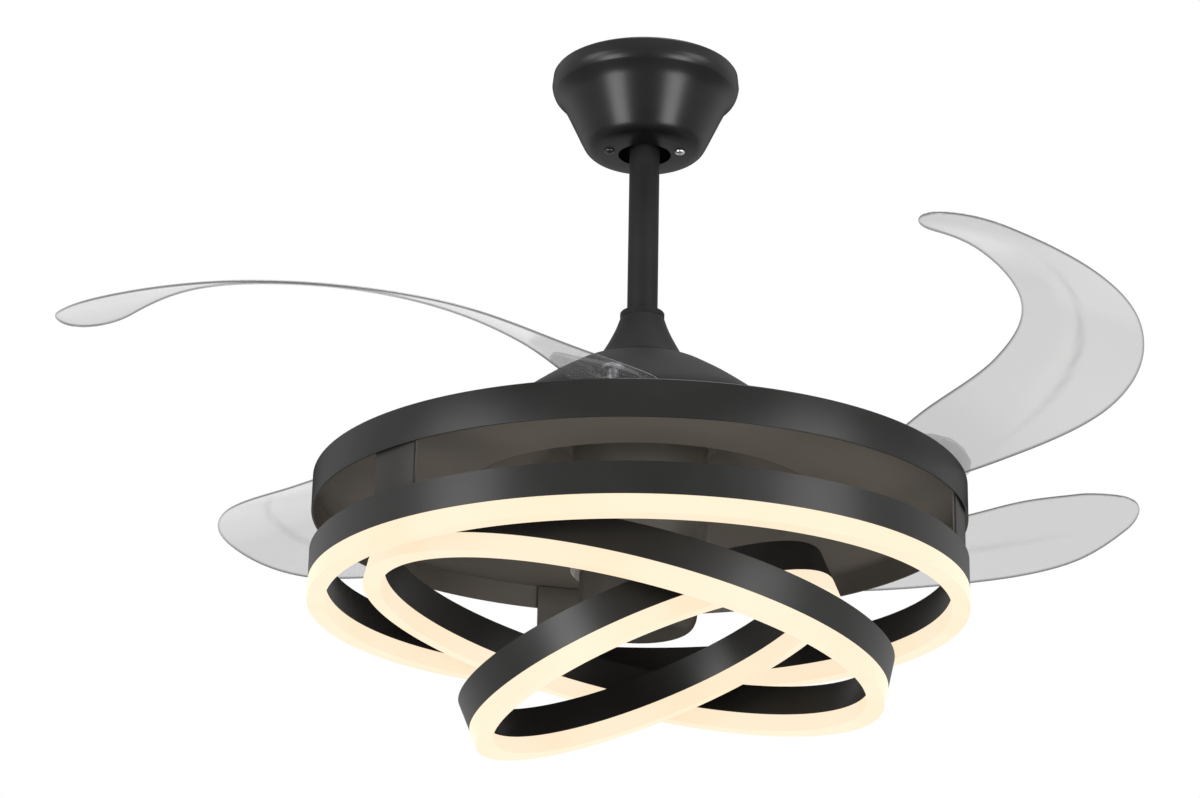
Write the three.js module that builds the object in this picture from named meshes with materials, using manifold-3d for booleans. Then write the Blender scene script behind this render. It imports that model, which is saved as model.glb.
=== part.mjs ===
// Retractable-blade ceiling fan with three lit hoops under its lamp pan.
// Millimetres, +Z up, Z = 0 on the ceiling, the fan's axis on X = Y = 0, the viewer on the -Y side.
import * as THREE from "three";
import { mergeVertices } from "three/addons/utils/BufferGeometryUtils.js";
import Module from "manifold-3d";

const wasm = await Module();
wasm.setup();

// ---- driving sizes ----
const DROP = 350; // ceiling down to the top edge of the lamp pan
const BODY_R = 250; // outer radius of the lamp pan and of the largest hoop
const PAN_WALL = 28.4; // height of the lamp pan's outer wall
const PAN_ROOF = 8; // how far the pan's roof lies under its top edge
const SHEET = 1.6; // sheet thickness of pan, canopy and covers
const ROD_R = 12; // downrod
const ROD_BORE = 9.6;
const SHAFT_R = 8.5; // hollow motor shaft
const HOOP_W = 13.4; // radial width of a lit hoop
const HOOP_METAL = 23.3; // height of its metal channel
const HOOP_LENS = 14.1; // height of its diffuser below the channel
const HOOP_A_TOP = -60.5; // top of the upper hoop, from the pan's top edge
const STRAP_W = 42; // the three straps that carry the upper hoop
const COLUMN_R = 52; // centre column
const CUP_R = 45; // cup under the column
const BLADE_T = 2.4; // blade thickness
const PIVOT = [0.84 * BODY_R, -0.08 * BODY_R]; // blade 1's hinge pin in plan
const GEAR_TEETH = 26; // on each blade arm
const RING_TEETH = 184; // on the ring that joins the four arms
const MODULE = (2 * Math.hypot(...PIVOT)) / (GEAR_TEETH + RING_TEETH);
const ROUND = 36; // facets round the large parts
const MIDDLE = 24; // facets round the motor's parts
const SMALL = 14; // facets round the small parts
const FINE = 10; // facets round pins and screws

const FINISH = {
  black: [0x2b2a2c, 0.38, 0.55],
  charcoal: [0x38363a, 0.42, 0.5],
  steel: [0xb9bcc0, 0.32, 1],
  zinc: [0x9c9fa3, 0.45, 1],
  copper: [0xb06a35, 0.4, 1],
  iron: [0x56585c, 0.55, 0.8],
  magnet: [0x2f3033, 0.6, 0.4],
  plastic: [0x1c1c1e, 0.5, 0],
  white: [0xe9e7e2, 0.5, 0],
  blade: [0xc9ccd2, 0.18, 0],
  lens: [0xfff3da, 0.45, 0],
  strip: [0xf3ead2, 0.5, 0],
};

// ---- small tools ----
const rad = (degrees) => (degrees * Math.PI) / 180;
const polar = (r, degrees) => [r * Math.cos(rad(degrees)), r * Math.sin(rad(degrees))];
const up = (z) => z - DROP; // heights are given from the pan's top edge

function solid(geometry) {
  const bare = geometry.clone();
  bare.deleteAttribute("normal");
  bare.deleteAttribute("uv");
  const merged = mergeVertices(bare, 1e-4);
  const index = merged.index.array;
  const kept = [];
  for (let i = 0; i < index.length; i += 3) {
    const [a, b, c] = [index[i], index[i + 1], index[i + 2]];
    if (a !== b && b !== c && a !== c) kept.push(a, b, c);
  }
  const build = (triangles) =>
    new wasm.Manifold(
      new wasm.Mesh({
        numProp: 3,
        vertProperties: new Float32Array(merged.attributes.position.array),
        triVerts: new Uint32Array(triangles),
      }),
    );
  const made = build(kept);
  if (made.volume() > 0) return made;
  const turned = [];
  for (let i = 0; i < kept.length; i += 3) turned.push(kept[i], kept[i + 2], kept[i + 1]);
  return build(turned);
}

function join(...solids) {
  return solids.reduce((sum, one) => sum.add(one));
}

function cut(body, ...tools) {
  return tools.reduce((left, tool) => left.subtract(tool), body);
}

// A closed (radius, height) outline turned about Z.
function turned(outline, facets = ROUND, start = 0) {
  const points = outline.map(([r, z]) => new THREE.Vector2(r, z));
  const closed = outline[0][0] > 0 || outline[outline.length - 1][0] > 0;
  if (closed) points.push(points[0].clone());
  const geometry = new THREE.LatheGeometry(points, facets, start);
  return solid(geometry.rotateX(Math.PI / 2));
}

function tube(outer, inner, bottom, top, facets = SMALL) {
  return turned([[inner, bottom], [outer, bottom], [outer, top], [inner, top]], facets);
}

function rod(radius, bottom, top, facets = SMALL) {
  return turned([[0, bottom], [radius, bottom], [radius, top], [0, top]], facets);
}

// A cylinder along any line from a to b.
function bar(radius, a, b, facets = SMALL) {
  const [from, to] = [new THREE.Vector3(...a), new THREE.Vector3(...b)];
  const along = to.clone().sub(from);
  const geometry = new THREE.CylinderGeometry(radius, radius, along.length(), facets);
  const axis = new THREE.Vector3(0, 1, 0);
  const turn = new THREE.Quaternion().setFromUnitVectors(axis, along.clone().normalize());
  geometry.applyQuaternion(turn);
  const middle = from.add(to).multiplyScalar(0.5);
  return solid(geometry.translate(middle.x, middle.y, middle.z));
}

function block(size, centre, turn = 0) {
  const geometry = new THREE.BoxGeometry(...size).rotateZ(rad(turn));
  return solid(geometry.translate(...centre));
}

// A flat outline with holes, thickened from bottom to top.
function plate(outline, holes, bottom, top) {
  const shape = new THREE.Shape(outline.map((p) => new THREE.Vector2(...p)));
  shape.holes = holes.map((hole) => new THREE.Path(hole.map((p) => new THREE.Vector2(...p))));
  const geometry = new THREE.ExtrudeGeometry(shape, { depth: top - bottom, bevelEnabled: false });
  return solid(geometry.translate(0, 0, bottom));
}

function arc(radius, from, to, count, centre = [0, 0]) {
  return Array.from({ length: count + 1 }, (_, i) => {
    const [x, y] = polar(radius, from + ((to - from) * i) / count);
    return [centre[0] + x, centre[1] + y];
  });
}

const circle = (radius, count, centre) => arc(radius, 0, 360 * (1 - 1 / count), count - 1, centre);

function placed(body, matrix) {
  const mesh = body.getMesh();
  const geometry = new THREE.BufferGeometry();
  geometry.setAttribute("position", new THREE.BufferAttribute(new Float32Array(mesh.vertProperties), 3));
  geometry.setIndex(new THREE.BufferAttribute(new Uint32Array(mesh.triVerts), 1));
  if (matrix) geometry.applyMatrix4(matrix);
  return geometry;
}

const fan = new THREE.Group();

function keep(name, body, finish, matrix) {
  const [color, roughness, metalness] = FINISH[finish];
  const material = new THREE.MeshStandardMaterial({ color, roughness, metalness });
  if (finish === "blade") Object.assign(material, { transparent: true, opacity: 0.55 });
  if (finish === "lens") material.emissive = new THREE.Color(0xffe9c4);
  const mesh = new THREE.Mesh(placed(body, matrix), material);
  mesh.name = name;
  fan.add(mesh);
}

const about = (degrees) => new THREE.Matrix4().makeRotationZ(rad(degrees));

// ---- ceiling fixing ----
const SEAT_R = 22; // opening the ball rests in
const BALL_R = 25;
const BALL_Z = 304 + Math.sqrt(BALL_R ** 2 - SEAT_R ** 2) + 0.7;

function hangerBracket() {
  const top = block([104, 40, 3], [0, 0, up(348.5)]);
  const legs = [-1, 1].map((s) => block([3, 40, 48], [s * 43.5, 0, up(325)]));
  const floor = block([90, 40, 3], [0, 0, up(302.5)]);
  const seat = tube(SEAT_R, ROD_R + 4, up(299), up(301.5));
  const slots = [-1, 1].map((s) => block([14, 6, 8], [s * 34, 0, up(348.5)]));
  const screws = [-1, 1].map((s) => bar(1.9, [s * 28, -8, up(300)], [s * 28, -8, up(306)], 12));
  const body = cut(join(top, ...legs, floor), bar(SEAT_R, [0, 0, up(300)], [0, 0, up(306)], MIDDLE));
  const wires = [-1, 1].map((s) => block([10, 12, 12], [s * 17, 0, up(348.5)]));
  return cut(body, seat, ...wires, ...slots, ...screws);
}

function hangerBall() {
  const ball = [];
  for (let a = -56; a <= 52; a += 18) {
    ball.push([BALL_R * Math.cos(rad(a)), up(BALL_Z) + BALL_R * Math.sin(rad(a))]);
  }
  const low = ball[0][1];
  const high = ball[ball.length - 1][1];
  const body = turned([[ROD_R + 0.3, low], ...ball, [ROD_R + 0.3, high]], SMALL + 4);
  return cut(body, bar(3.3, [-30, 0, up(BALL_Z)], [30, 0, up(BALL_Z)], 12));
}

function downrod() {
  const pipe = tube(ROD_R, ROD_BORE, up(127), up(338), SMALL + 2);
  const topHole = bar(3.3, [-20, 0, up(BALL_Z)], [20, 0, up(BALL_Z)], FINE);
  return cut(pipe, topHole, bar(2.8, [-20, 0, up(132)], [20, 0, up(132)], 12));
}

function canopy() {
  const outside = [
    [75, 349.5], [75, 336], [73, 330], [69.2, 325], [63.5, 317], [57.2, 306], [54, 296],
    [50.5, 289], [45, 283.2], [38, 281],
  ];
  const inside = [[73.4, 349.5], [73.4, 336], [67.6, 325], [55.6, 306], [52.2, 295], [43.6, 284.8]];
  const floor = [[21, 281], [21, 281 + SHEET], [38, 281 + SHEET]];
  const outline = [...outside, ...floor, ...inside.reverse()];
  const bowl = turned(outline.map(([r, z]) => [r, up(z)]), MIDDLE + 4);
  const holes = [-1, 1].map((s) => bar(2.4, [s * 28, -8, up(276)], [s * 28, -8, up(290)], 12));
  return cut(bowl, ...holes);
}

function canopyScrew(side) {
  const at = [side * 28, -8];
  const shank = bar(1.6, [...at, up(280)], [...at, up(306)], 10);
  const head = bar(4, [...at, up(278.2)], [...at, up(280.7)], 16);
  return cut(join(shank, head), block([6, 1, 1.6], [...at, up(278.2)], 20));
}

// ---- coupling between rod and motor ----
function yoke() {
  const body = turned([
    [SHAFT_R + 0.3, up(112)], [13.5, up(112)], [15.2, up(115)], [15.2, up(138)],
    [ROD_R + 0.3, up(138)], [ROD_R + 0.3, up(126.7)], [SHAFT_R + 0.3, up(126.7)],
  ], SMALL + 2);
  const flats = [-1, 1].map((s) => block([40, 6, 8], [0, s * 17, up(119)]));
  return cut(body, bar(2.8, [-20, 0, up(132)], [20, 0, up(132)], 12), ...flats);
}

function couplingCover() {
  const outside = [
    [14.6, 145.5], [17.4, 144.6], [17.8, 141], [19.6, 134], [24.6, 121], [28.6, 114.5],
    [34, 110.3], [45, 107.4], [45, 106.4],
  ];
  const inside = [
    [41, 106.4], [33.2, 108.6], [27.2, 113], [20.4, 126], [16.6, 140], [12.5, 142], [12.5, 145.5],
  ];
  return turned([...outside, ...inside].map(([r, z]) => [r, up(z)]), MIDDLE);
}

// ---- motor ----
function motorShaft() {
  return turned([
    [5.2, up(26)], [8.2, up(26)], [SHAFT_R, up(27)], [SHAFT_R, up(40.3)], [11, up(40.3)],
    [11, up(47.2)], [SHAFT_R, up(47.2)], [SHAFT_R, up(126.4)], [5.2, up(126.4)],
  ], SMALL);
}

const POLES = 9;

function statorCore() {
  const edge = [];
  for (let k = 0; k < POLES; k += 1) {
    const a = (360 * k) / POLES;
    const neck = (r, side) => {
      const [c, s] = [Math.cos(rad(a)), Math.sin(rad(a))];
      return [r * c - side * 4 * s, r * s + side * 4 * c];
    };
    edge.push(neck(33, -1), neck(56, -1), polar(57.5, a - 16), polar(62, a - 17));
    edge.push(polar(62, a), polar(62, a + 17), polar(57.5, a + 16), neck(56, 1), neck(33, 1));
  }
  return plate(edge, [circle(SHAFT_R + 0.3, SMALL)], up(58), up(74));
}

function windings() {
  const carrier = tube(38.5, 34.2, up(54.8), up(57.4), POLES * 2);
  const coils = Array.from({ length: POLES }, (_, k) => {
    const a = (360 * k) / POLES;
    const outer = block([15.5, 20, 22.4], [...polar(45.5, a), up(66)], a);
    return cut(outer, block([40, 8.8, 17], [...polar(45.5, a), up(66)], a));
  });
  return join(carrier, ...coils);
}

const magnetRing = () => tube(69, 63.4, up(56), up(76), MIDDLE);

function bearing(bottom) {
  const race = [
    [SHAFT_R + 0.3, bottom], [17.2, bottom], [17.2, bottom + 9.8], [SHAFT_R + 0.3, bottom + 9.8],
  ];
  return turned(race, SMALL);
}

function rotorCan() {
  const outline = [
    [12.5, 89.4], [12.5, 87.3], [17.5, 87.3], [17.5, 77], [22, 77], [22, 79.2], [69.3, 79.2],
    [69.3, 47.9], [76, 47.9], [76, 50.4], [72.5, 50.4], [72.5, 81.5], [22, 81.5], [22, 89.4],
  ];
  return turned(outline.map(([r, z]) => [r, up(z)]), MIDDLE);
}

function rotorFloor() {
  const outline = [
    [12.5, 44.6], [78, 44.6], [78, 47.6], [22, 47.6], [22, 57.4], [17.5, 57.4], [17.5, 47.3],
    [12.5, 47.3],
  ];
  return turned(outline.map(([r, z]) => [r, up(z)]), MIDDLE);
}

function rotorCover() {
  const outside = [
    [14, 105], [46, 105], [60, 98.2], [88, 77.4], [101, 66.4], [107.5, 58.5], [111.5, 47],
    [111.5, 30],
  ];
  const inside = [
    [110, 30], [109.4, 50], [99.8, 65.2], [66.2, 91.7], [66.2, 81.8], [63.6, 81.8],
    [45.4, 103.4], [14, 103.4],
  ];
  return turned([...outside, ...inside].map(([r, z]) => [r, up(z)]), ROUND);
}

// ---- blade deck and the gear that joins the blades ----
const PIVOT_R = Math.hypot(...PIVOT);
const PIVOT_A = (Math.atan2(PIVOT[1], PIVOT[0]) * 180) / Math.PI;
const GEAR_R = (MODULE * GEAR_TEETH) / 2;
const RING_R = (MODULE * RING_TEETH) / 2;
const LIP_R = RING_R - 19.8; // the deck's lip, which the ring turns on

function bladeDeck() {
  const outline = [
    [66, 44.3], [66, 41.6], [79.5, 41.6], [139, -5], [BODY_R - 13, -5], [BODY_R - 13, -2.5],
    [LIP_R, -2.5], [LIP_R, 2.6], [LIP_R - 2, 2.6], [LIP_R - 2, -2.5], [140, -2.5], [81, 44.3],
  ];
  const sheet = turned(outline.map(([r, z]) => [r, up(z)]), ROUND);
  const bosses = [0, 90, 180, 270].map((k) => {
    const at = polar(PIVOT_R, PIVOT_A + k);
    return bar(9, [...at, up(-3.5)], [...at, up(-1.2)], FINE);
  });
  const vents = Array.from({ length: 4 }, (_, k) => {
    const at = polar(151.5, 90 * k + 40);
    return bar(7, [...at, up(-8)], [...at, up(0)], 10);
  });
  const bores = [0, 90, 180, 270].map((k) => {
    const at = polar(PIVOT_R, PIVOT_A + k);
    return bar(4.3, [...at, up(-8)], [...at, up(2)], FINE);
  });
  return cut(join(sheet, ...bosses), ...vents, ...bores);
}

// One trapezoid tooth as four points, on a wheel whose teeth point outwards.
function tooth(pitch, teeth, degrees) {
  const half = 90 / teeth; // a quarter of one pitch
  const [root, tip] = [pitch - MODULE * 1.2, pitch + MODULE * 0.85];
  return [
    polar(root, degrees - half * 1.35), polar(tip, degrees - half * 0.42),
    polar(tip, degrees + half * 0.42), polar(root, degrees + half * 1.35),
  ];
}

function syncRing() {
  const step = 360 / RING_TEETH;
  const root = RING_R - MODULE * 1.2;
  const edge = [];
  for (const k of [0, 90, 180, 270]) {
    const mesh = PIVOT_A + k; // the pin's own direction
    for (let n = -7; n <= 1; n += 1) edge.push(...tooth(RING_R, RING_TEETH, mesh + (n + 0.5) * step));
    const from = mesh + 2.2 * step;
    edge.push(...arc(root, from, mesh + 90 - 7.8 * step, 5));
  }
  return plate(edge, [circle(LIP_R + 1.2, ROUND)], up(-0.8), up(2.8));
}

// ---- blades ----
// Blade 1 in plan: an arc about BLADE_C, from its hinge end (s = 0) to its tip (s = 1). The two
// edges stand off the arc by the outer and inner widths, and each edge climbs towards the tip.
const BLADE_ARC_R = 258.6;
const BLADE_FROM = 55.6;
const BLADE_TO = -54.2;
const START = [PIVOT[0] - 26.8, PIVOT[1] + 29]; // where the arc begins, beside the hinge pin
const BLADE_C = START.map((at, i) => at - polar(BLADE_ARC_R, BLADE_FROM)[i]);
const OUTER_W = [24, 25.9, 50, 56.1, 49.3, 17.8];
const INNER_W = [46, 46.7, 35.1, 27.6, 35.3, 35];
const OUTER_Z = [11.4, 13.2, 21, 29, 35.7, 54.2];
const INNER_Z = [14.2, 39.7, 52.7, 60.7, 69.1, 62];
const ROOT_ROUND = 0.07; // share of the length taken by each rounded end
const TIP_ROUND = 0.075;

function smooth(values, s) {
  const last = values.length - 1;
  const t = Math.min(Math.max(s, 0), 1) * last;
  const i = Math.min(Math.floor(t), last - 1);
  const f = t - i;
  const at = (k) => values[Math.min(Math.max(k, 0), last)];
  const [p0, p1, p2, p3] = [at(i - 1), at(i), at(i + 1), at(i + 2)];
  const bend = 2 * p0 - 5 * p1 + 4 * p2 - p3;
  const twist = 3 * (p1 - p2) + p3 - p0;
  return 0.5 * (2 * p1 + (p2 - p0) * f + bend * f * f + twist * f ** 3);
}

function endShare(s) {
  const root = Math.sqrt(Math.max(0, 1 - Math.max(0, (ROOT_ROUND - s) / ROOT_ROUND) ** 2));
  const tip = Math.sqrt(Math.max(0, 1 - Math.max(0, (s - 1 + TIP_ROUND) / TIP_ROUND) ** 2));
  return Math.max(0.12, root * tip);
}

// A point of the blade's middle surface, c = 1 on the outer edge and -1 on the inner one.
function bladePoint(s, c) {
  const [wo, wi] = [smooth(OUTER_W, s), smooth(INNER_W, s)];
  const off = (wo - wi) / 2 + ((wo + wi) / 2) * endShare(s) * c;
  const share = (off + wi) / (wo + wi);
  const z = smooth(INNER_Z, s) + (smooth(OUTER_Z, s) - smooth(INNER_Z, s)) * share;
  const [x, y] = polar(BLADE_ARC_R + off, BLADE_FROM + (BLADE_TO - BLADE_FROM) * s);
  return [BLADE_C[0] + x, BLADE_C[1] + y, up(z)];
}

// A sheet that follows the blade's surface, between two heights off it.
function bladeSheet(stations, across, low, high) {
  const [rows, cols] = [stations.length, across.length];
  const points = [];
  for (const lift of [high, low]) {
    for (const s of stations) {
      for (const c of across) {
        const [x, y, z] = bladePoint(s, c);
        points.push(x, y, z + lift);
      }
    }
  }
  const id = (side, i, j) => side * rows * cols + i * cols + j;
  const faces = [];
  const quad = (a, b, c, d) => faces.push(a, b, c, a, c, d);
  for (let i = 0; i + 1 < rows; i += 1) {
    for (let j = 0; j + 1 < cols; j += 1) {
      quad(id(0, i, j), id(0, i + 1, j), id(0, i + 1, j + 1), id(0, i, j + 1));
      quad(id(1, i, j), id(1, i, j + 1), id(1, i + 1, j + 1), id(1, i + 1, j));
    }
    quad(id(0, i, 0), id(1, i, 0), id(1, i + 1, 0), id(0, i + 1, 0));
    quad(id(0, i, cols - 1), id(0, i + 1, cols - 1), id(1, i + 1, cols - 1), id(1, i, cols - 1));
  }
  for (let j = 0; j + 1 < cols; j += 1) {
    quad(id(0, 0, j), id(0, 0, j + 1), id(1, 0, j + 1), id(1, 0, j));
    quad(id(0, rows - 1, j), id(1, rows - 1, j), id(1, rows - 1, j + 1), id(0, rows - 1, j + 1));
  }
  const geometry = new THREE.BufferGeometry();
  geometry.setAttribute("position", new THREE.BufferAttribute(new Float32Array(points), 3));
  geometry.setIndex(faces);
  return solid(geometry);
}

const BOLT_R = 4;
const ROOT_STATIONS = [0, 0.012, 0.035, 0.07, 0.13, 0.22, 0.31];

function blade() {
  const stations = [...ROOT_STATIONS, 0.4, 0.49, 0.58, 0.67, 0.76, 0.85, 0.925, 0.955, 0.978, 0.992, 1];
  const sheet = bladeSheet(stations, [-1, 0, 1], -BLADE_T / 2, BLADE_T / 2);
  const bore = bar(BOLT_R + 0.4, [...PIVOT, up(0)], [...PIVOT, up(40)], FINE);
  return cut(sheet, bore);
}

const SEAT_AT = [PIVOT[0] + 8, PIVOT[1] - 12]; // middle of the round seat under the blade

function bladeArm() {
  const under = -BLADE_T / 2 - 0.3;
  const shelf = bladeSheet(ROOT_STATIONS, [-1, 0, 1], under - 2.6, under);
  const seat = shelf.intersect(bar(33, [...SEAT_AT, up(0)], [...SEAT_AT, up(50)], SMALL));
  const hub = bar(11, [...PIVOT, up(-0.9)], [...PIVOT, up(24)], SMALL - 2);
  const above = bladeSheet(ROOT_STATIONS, [-1, 0, 1], under, 30);
  const toCentre = PIVOT_A + 180;
  const step = 360 / GEAR_TEETH;
  const edge = [];
  for (let n = -1; n <= 6; n += 1) {
    edge.push(...tooth(GEAR_R, GEAR_TEETH, toCentre + n * step));
  }
  const root = GEAR_R - MODULE * 1.2;
  edge.push(...arc(root, toCentre + 6.9 * step, toCentre + 360 - 1.9 * step, 7));
  const wheel = plate(edge.map(([x, y]) => [x + PIVOT[0], y + PIVOT[1]]), [], up(-0.8), up(2.8));
  const bore = bar(BOLT_R + 0.4, [...PIVOT, up(-8)], [...PIVOT, up(40)], FINE);
  return cut(join(cut(hub, above), wheel, seat), bore);
}

function hingeBolt() {
  const pin = bar(BOLT_R, [...PIVOT, up(-6.6)], [...PIVOT, up(21.5)], FINE);
  const head = bar(8, [...PIVOT, up(20.6)], [...PIVOT, up(23)], FINE);
  return join(pin, head);
}

// A torsion spring round the arm's hub.
function hingeSpring() {
  const turns = 1.5;
  const sides = 4;
  const count = 16;
  const wire = 1;
  const points = [];
  for (let i = 0; i <= count; i += 1) {
    const a = 360 * turns * (i / count);
    const z = 4.3 + 3.9 * (i / count);
    for (let k = 0; k < sides; k += 1) {
      const [dr, dz] = polar(wire, (360 * k) / sides);
      const [x, y] = polar(13.2 + dr, a);
      points.push(PIVOT[0] + x, PIVOT[1] + y, up(z + dz));
    }
  }
  const faces = [];
  for (let i = 0; i < count; i += 1) {
    for (let k = 0; k < sides; k += 1) {
      const [a, b] = [i * sides + k, i * sides + ((k + 1) % sides)];
      faces.push(a, b, b + sides, a, b + sides, a + sides);
    }
  }
  for (let k = 1; k + 1 < sides; k += 1) {
    const end = count * sides;
    faces.push(0, k + 1, k, end, end + k, end + k + 1);
  }
  const geometry = new THREE.BufferGeometry();
  geometry.setAttribute("position", new THREE.BufferAttribute(new Float32Array(points), 3));
  geometry.setIndex(faces);
  return solid(geometry);
}

// ---- lamp pan, column and hoops ----
function lampPan() {
  const roof = -PAN_ROOF;
  const outline = [
    [BODY_R, -PAN_WALL], [BODY_R, -0.8], [BODY_R - 0.8, 0], [BODY_R - SHEET, -0.2],
    [BODY_R - SHEET, roof], [141, roof], [62, 39.6], [SHAFT_R + 0.3, 39.6], [SHAFT_R + 0.3, 38],
    [61, 38], [139.6, roof - SHEET], [BODY_R - SHEET, roof - SHEET], [BODY_R - SHEET, -PAN_WALL],
  ];
  return turned(outline.map(([r, z]) => [r, up(z)]), ROUND);
}

function shaftNut() {
  const nut = plate(circle(14, 6), [circle(SHAFT_R + 0.3, SMALL)], up(31.5), up(37.7));
  return nut;
}

function column() {
  const inner = COLUMN_R - SHEET;
  const outline = [
    [COLUMN_R, 34.5], [COLUMN_R - 2.5, 37.7], [38, 37.7], [38, 36.1], [inner, 36.1],
    [inner, -67], [CUP_R - 1.9, -67], [CUP_R - 1.9, -68.6], [COLUMN_R - 3, -68.6], [COLUMN_R, -65.6],
  ];
  return turned(outline.map(([r, z]) => [r, up(z)]), MIDDLE);
}

function columnCup() {
  const inner = CUP_R - SHEET;
  const outline = [
    [CUP_R, -68.9], [CUP_R, -101], [CUP_R - 2, -107], [CUP_R - 6, -111], [CUP_R - 12, -113],
    [0, -113], [0, -111.4], [CUP_R - 12.4, -111.4], [inner, -101], [inner, -68.9],
  ];
  return turned(outline.map(([r, z]) => [r, up(z)]), MIDDLE);
}

const EARS = 2 * (COLUMN_R - SHEET - 1.1); // the two boxes' ears reach the column's wall

function ledDriver() {
  const box = block([62, 36, 24], [0, 0, up(10)]);
  const ears = block([EARS, 12, 2], [0, 0, up(21)]);
  return join(box, ears);
}

function controlBox() {
  return join(block([54, 40, 20], [0, 0, up(-40)]), block([EARS, 10, 2], [0, 0, up(-31)]));
}

const LINK_R = 3;
const HOOPS = [
  { name: "a", radius: BODY_R, x: 0, z: HOOP_A_TOP, tilt: 0, facets: 36 },
  { name: "b", radius: 0.8064 * BODY_R, x: -11.9, z: -126, tilt: 12.6, facets: 32 },
  { name: "c", radius: 0.592 * BODY_R, x: 17.3, z: -146.6, tilt: -22.75, facets: 28 },
];

function hoopMatrix({ x, z, tilt, name }) {
  if (name === "a") return new THREE.Matrix4().makeTranslation(0, 0, up(z));
  const turn = new THREE.Matrix4().makeRotationY(rad(tilt));
  const lift = new THREE.Matrix4().makeTranslation(0, 0, HOOP_METAL + HOOP_LENS);
  return new THREE.Matrix4().makeTranslation(x, 0, up(z)).multiply(turn).multiply(lift);
}

// Hoop parts are drawn about their own axis, with the top of the channel at z = 0.
function hoopChannel(radius, facets) {
  const inner = radius - HOOP_W;
  return turned([
    [radius, -HOOP_METAL], [radius, 0], [inner, 0], [inner, -HOOP_METAL],
    [inner + SHEET, -HOOP_METAL], [inner + SHEET, -SHEET], [radius - SHEET, -SHEET],
    [radius - SHEET, -HOOP_METAL],
  ], facets);
}

function hoopStrip(radius, facets) {
  const [inner, outer] = [radius - HOOP_W + SHEET + 2.6, radius - SHEET - 1.2];
  return tube(outer, inner, -SHEET - 1.5, -SHEET - 0.3, facets);
}

function hoopLens(radius, facets) {
  const inner = radius - HOOP_W;
  const [top, bottom] = [-HOOP_METAL - 0.3, -HOOP_METAL - HOOP_LENS];
  return turned([
    [radius, top], [radius, bottom], [inner, bottom], [inner, top], [inner + 1.5, top],
    [inner + 1.5, bottom + 1.6], [radius - 1.5, bottom + 1.6], [radius - 1.5, top],
  ], facets);
}

// A round stand-off between two hoops, ending just short of each wall.
const LINK_GAP = 0.3;

function moved(body, matrix) {
  return solid(placed(body, matrix));
}

function hoopLink(outer, inner, from, to) {
  const pin = bar(LINK_R, from, to, FINE);
  const inside = rod(outer.radius - HOOP_W - LINK_GAP, -60, 40, outer.facets);
  const core = rod(inner.radius + LINK_GAP, -60, 40, inner.facets);
  return pin.intersect(moved(inside, hoopMatrix(outer))).subtract(moved(core, hoopMatrix(inner)));
}

// ---- assembly ----
keep("hanger_bracket", hangerBracket(), "zinc");
keep("hanger_ball", hangerBall(), "plastic");
keep("downrod", downrod(), "black");
keep("ball_pin", bar(3, [-BALL_R + 1, 0, up(BALL_Z)], [BALL_R - 1, 0, up(BALL_Z)], 12), "steel");
keep("canopy", canopy(), "black");
keep("canopy_screw_left", canopyScrew(-1), "steel");
keep("canopy_screw_right", canopyScrew(1), "steel");
keep("yoke", yoke(), "zinc");
keep("yoke_pin", bar(2.5, [-15.2, 0, up(132)], [15.2, 0, up(132)], 12), "steel");
keep("coupling_cover", couplingCover(), "black");
keep("motor_shaft", motorShaft(), "steel");
keep("stator_core", statorCore(), "iron");
keep("windings", windings(), "copper");
keep("bearing_lower", bearing(up(47.5)), "steel");
keep("bearing_upper", bearing(up(77.2)), "steel");
keep("magnet_ring", magnetRing(), "magnet");
keep("rotor_can", rotorCan(), "zinc");
keep("rotor_floor", rotorFloor(), "zinc");
keep("rotor_cover", rotorCover(), "black");
keep("blade_deck", bladeDeck(), "charcoal");
keep("sync_ring", syncRing(), "white");
[0, 90, 180, 270].forEach((turn, i) => {
  const n = i + 1;
  keep(`blade_${n}`, blade(), "blade", about(turn));
  keep(`blade_arm_${n}`, bladeArm(), "plastic", about(turn));
  keep(`hinge_bolt_${n}`, hingeBolt(), "steel", about(turn));
  keep(`hinge_spring_${n}`, hingeSpring(), "steel", about(turn));
});
keep("lamp_pan", lampPan(), "charcoal");
keep("shaft_nut", shaftNut(), "steel");
keep("column", column(), "charcoal");
keep("column_cup", columnCup(), "black");
keep("led_driver", ledDriver(), "white");
keep("control_box", controlBox(), "plastic");
[-135, -15, 105].forEach((turn, i) => {
  const [top, bottom] = [-PAN_ROOF - SHEET - 0.3, HOOP_A_TOP + 0.3];
  const wall = (BODY_R - SHEET) * Math.cos(Math.PI / ROUND);
  const strap = block([3, STRAP_W, top - bottom], [wall - 1.8, 0, up((top + bottom) / 2)]);
  keep(`pan_post_${i + 1}`, strap, "charcoal", about(turn));
});
for (const hoop of HOOPS) {
  const matrix = hoopMatrix(hoop);
  keep(`hoop_${hoop.name}_channel`, hoopChannel(hoop.radius, hoop.facets), "charcoal", matrix);
  keep(`hoop_${hoop.name}_strip`, hoopStrip(hoop.radius, MIDDLE), "strip", matrix);
  keep(`hoop_${hoop.name}_lens`, hoopLens(hoop.radius, hoop.facets), "lens", matrix);
}

const [HOOP_A, HOOP_B, HOOP_C] = HOOPS;
[1, -1].forEach((side, i) => {
  const [near, far] = [polar(0.78 * BODY_R, side * 133), polar(0.98 * BODY_R, side * 133)];
  const ab = hoopLink(HOOP_A, HOOP_B, [...near, up(-70)], [...far, up(-70)]);
  keep(`hoop_link_ab_${i + 1}`, ab, "charcoal");
  const [start, end] = [side * 0.54 * BODY_R, side * 0.76 * BODY_R];
  const bc = hoopLink(HOOP_B, HOOP_C, [39, start, up(-110)], [39, end, up(-110)]);
  keep(`hoop_link_bc_${i + 1}`, bc, "charcoal");
});

export default fan;
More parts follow.
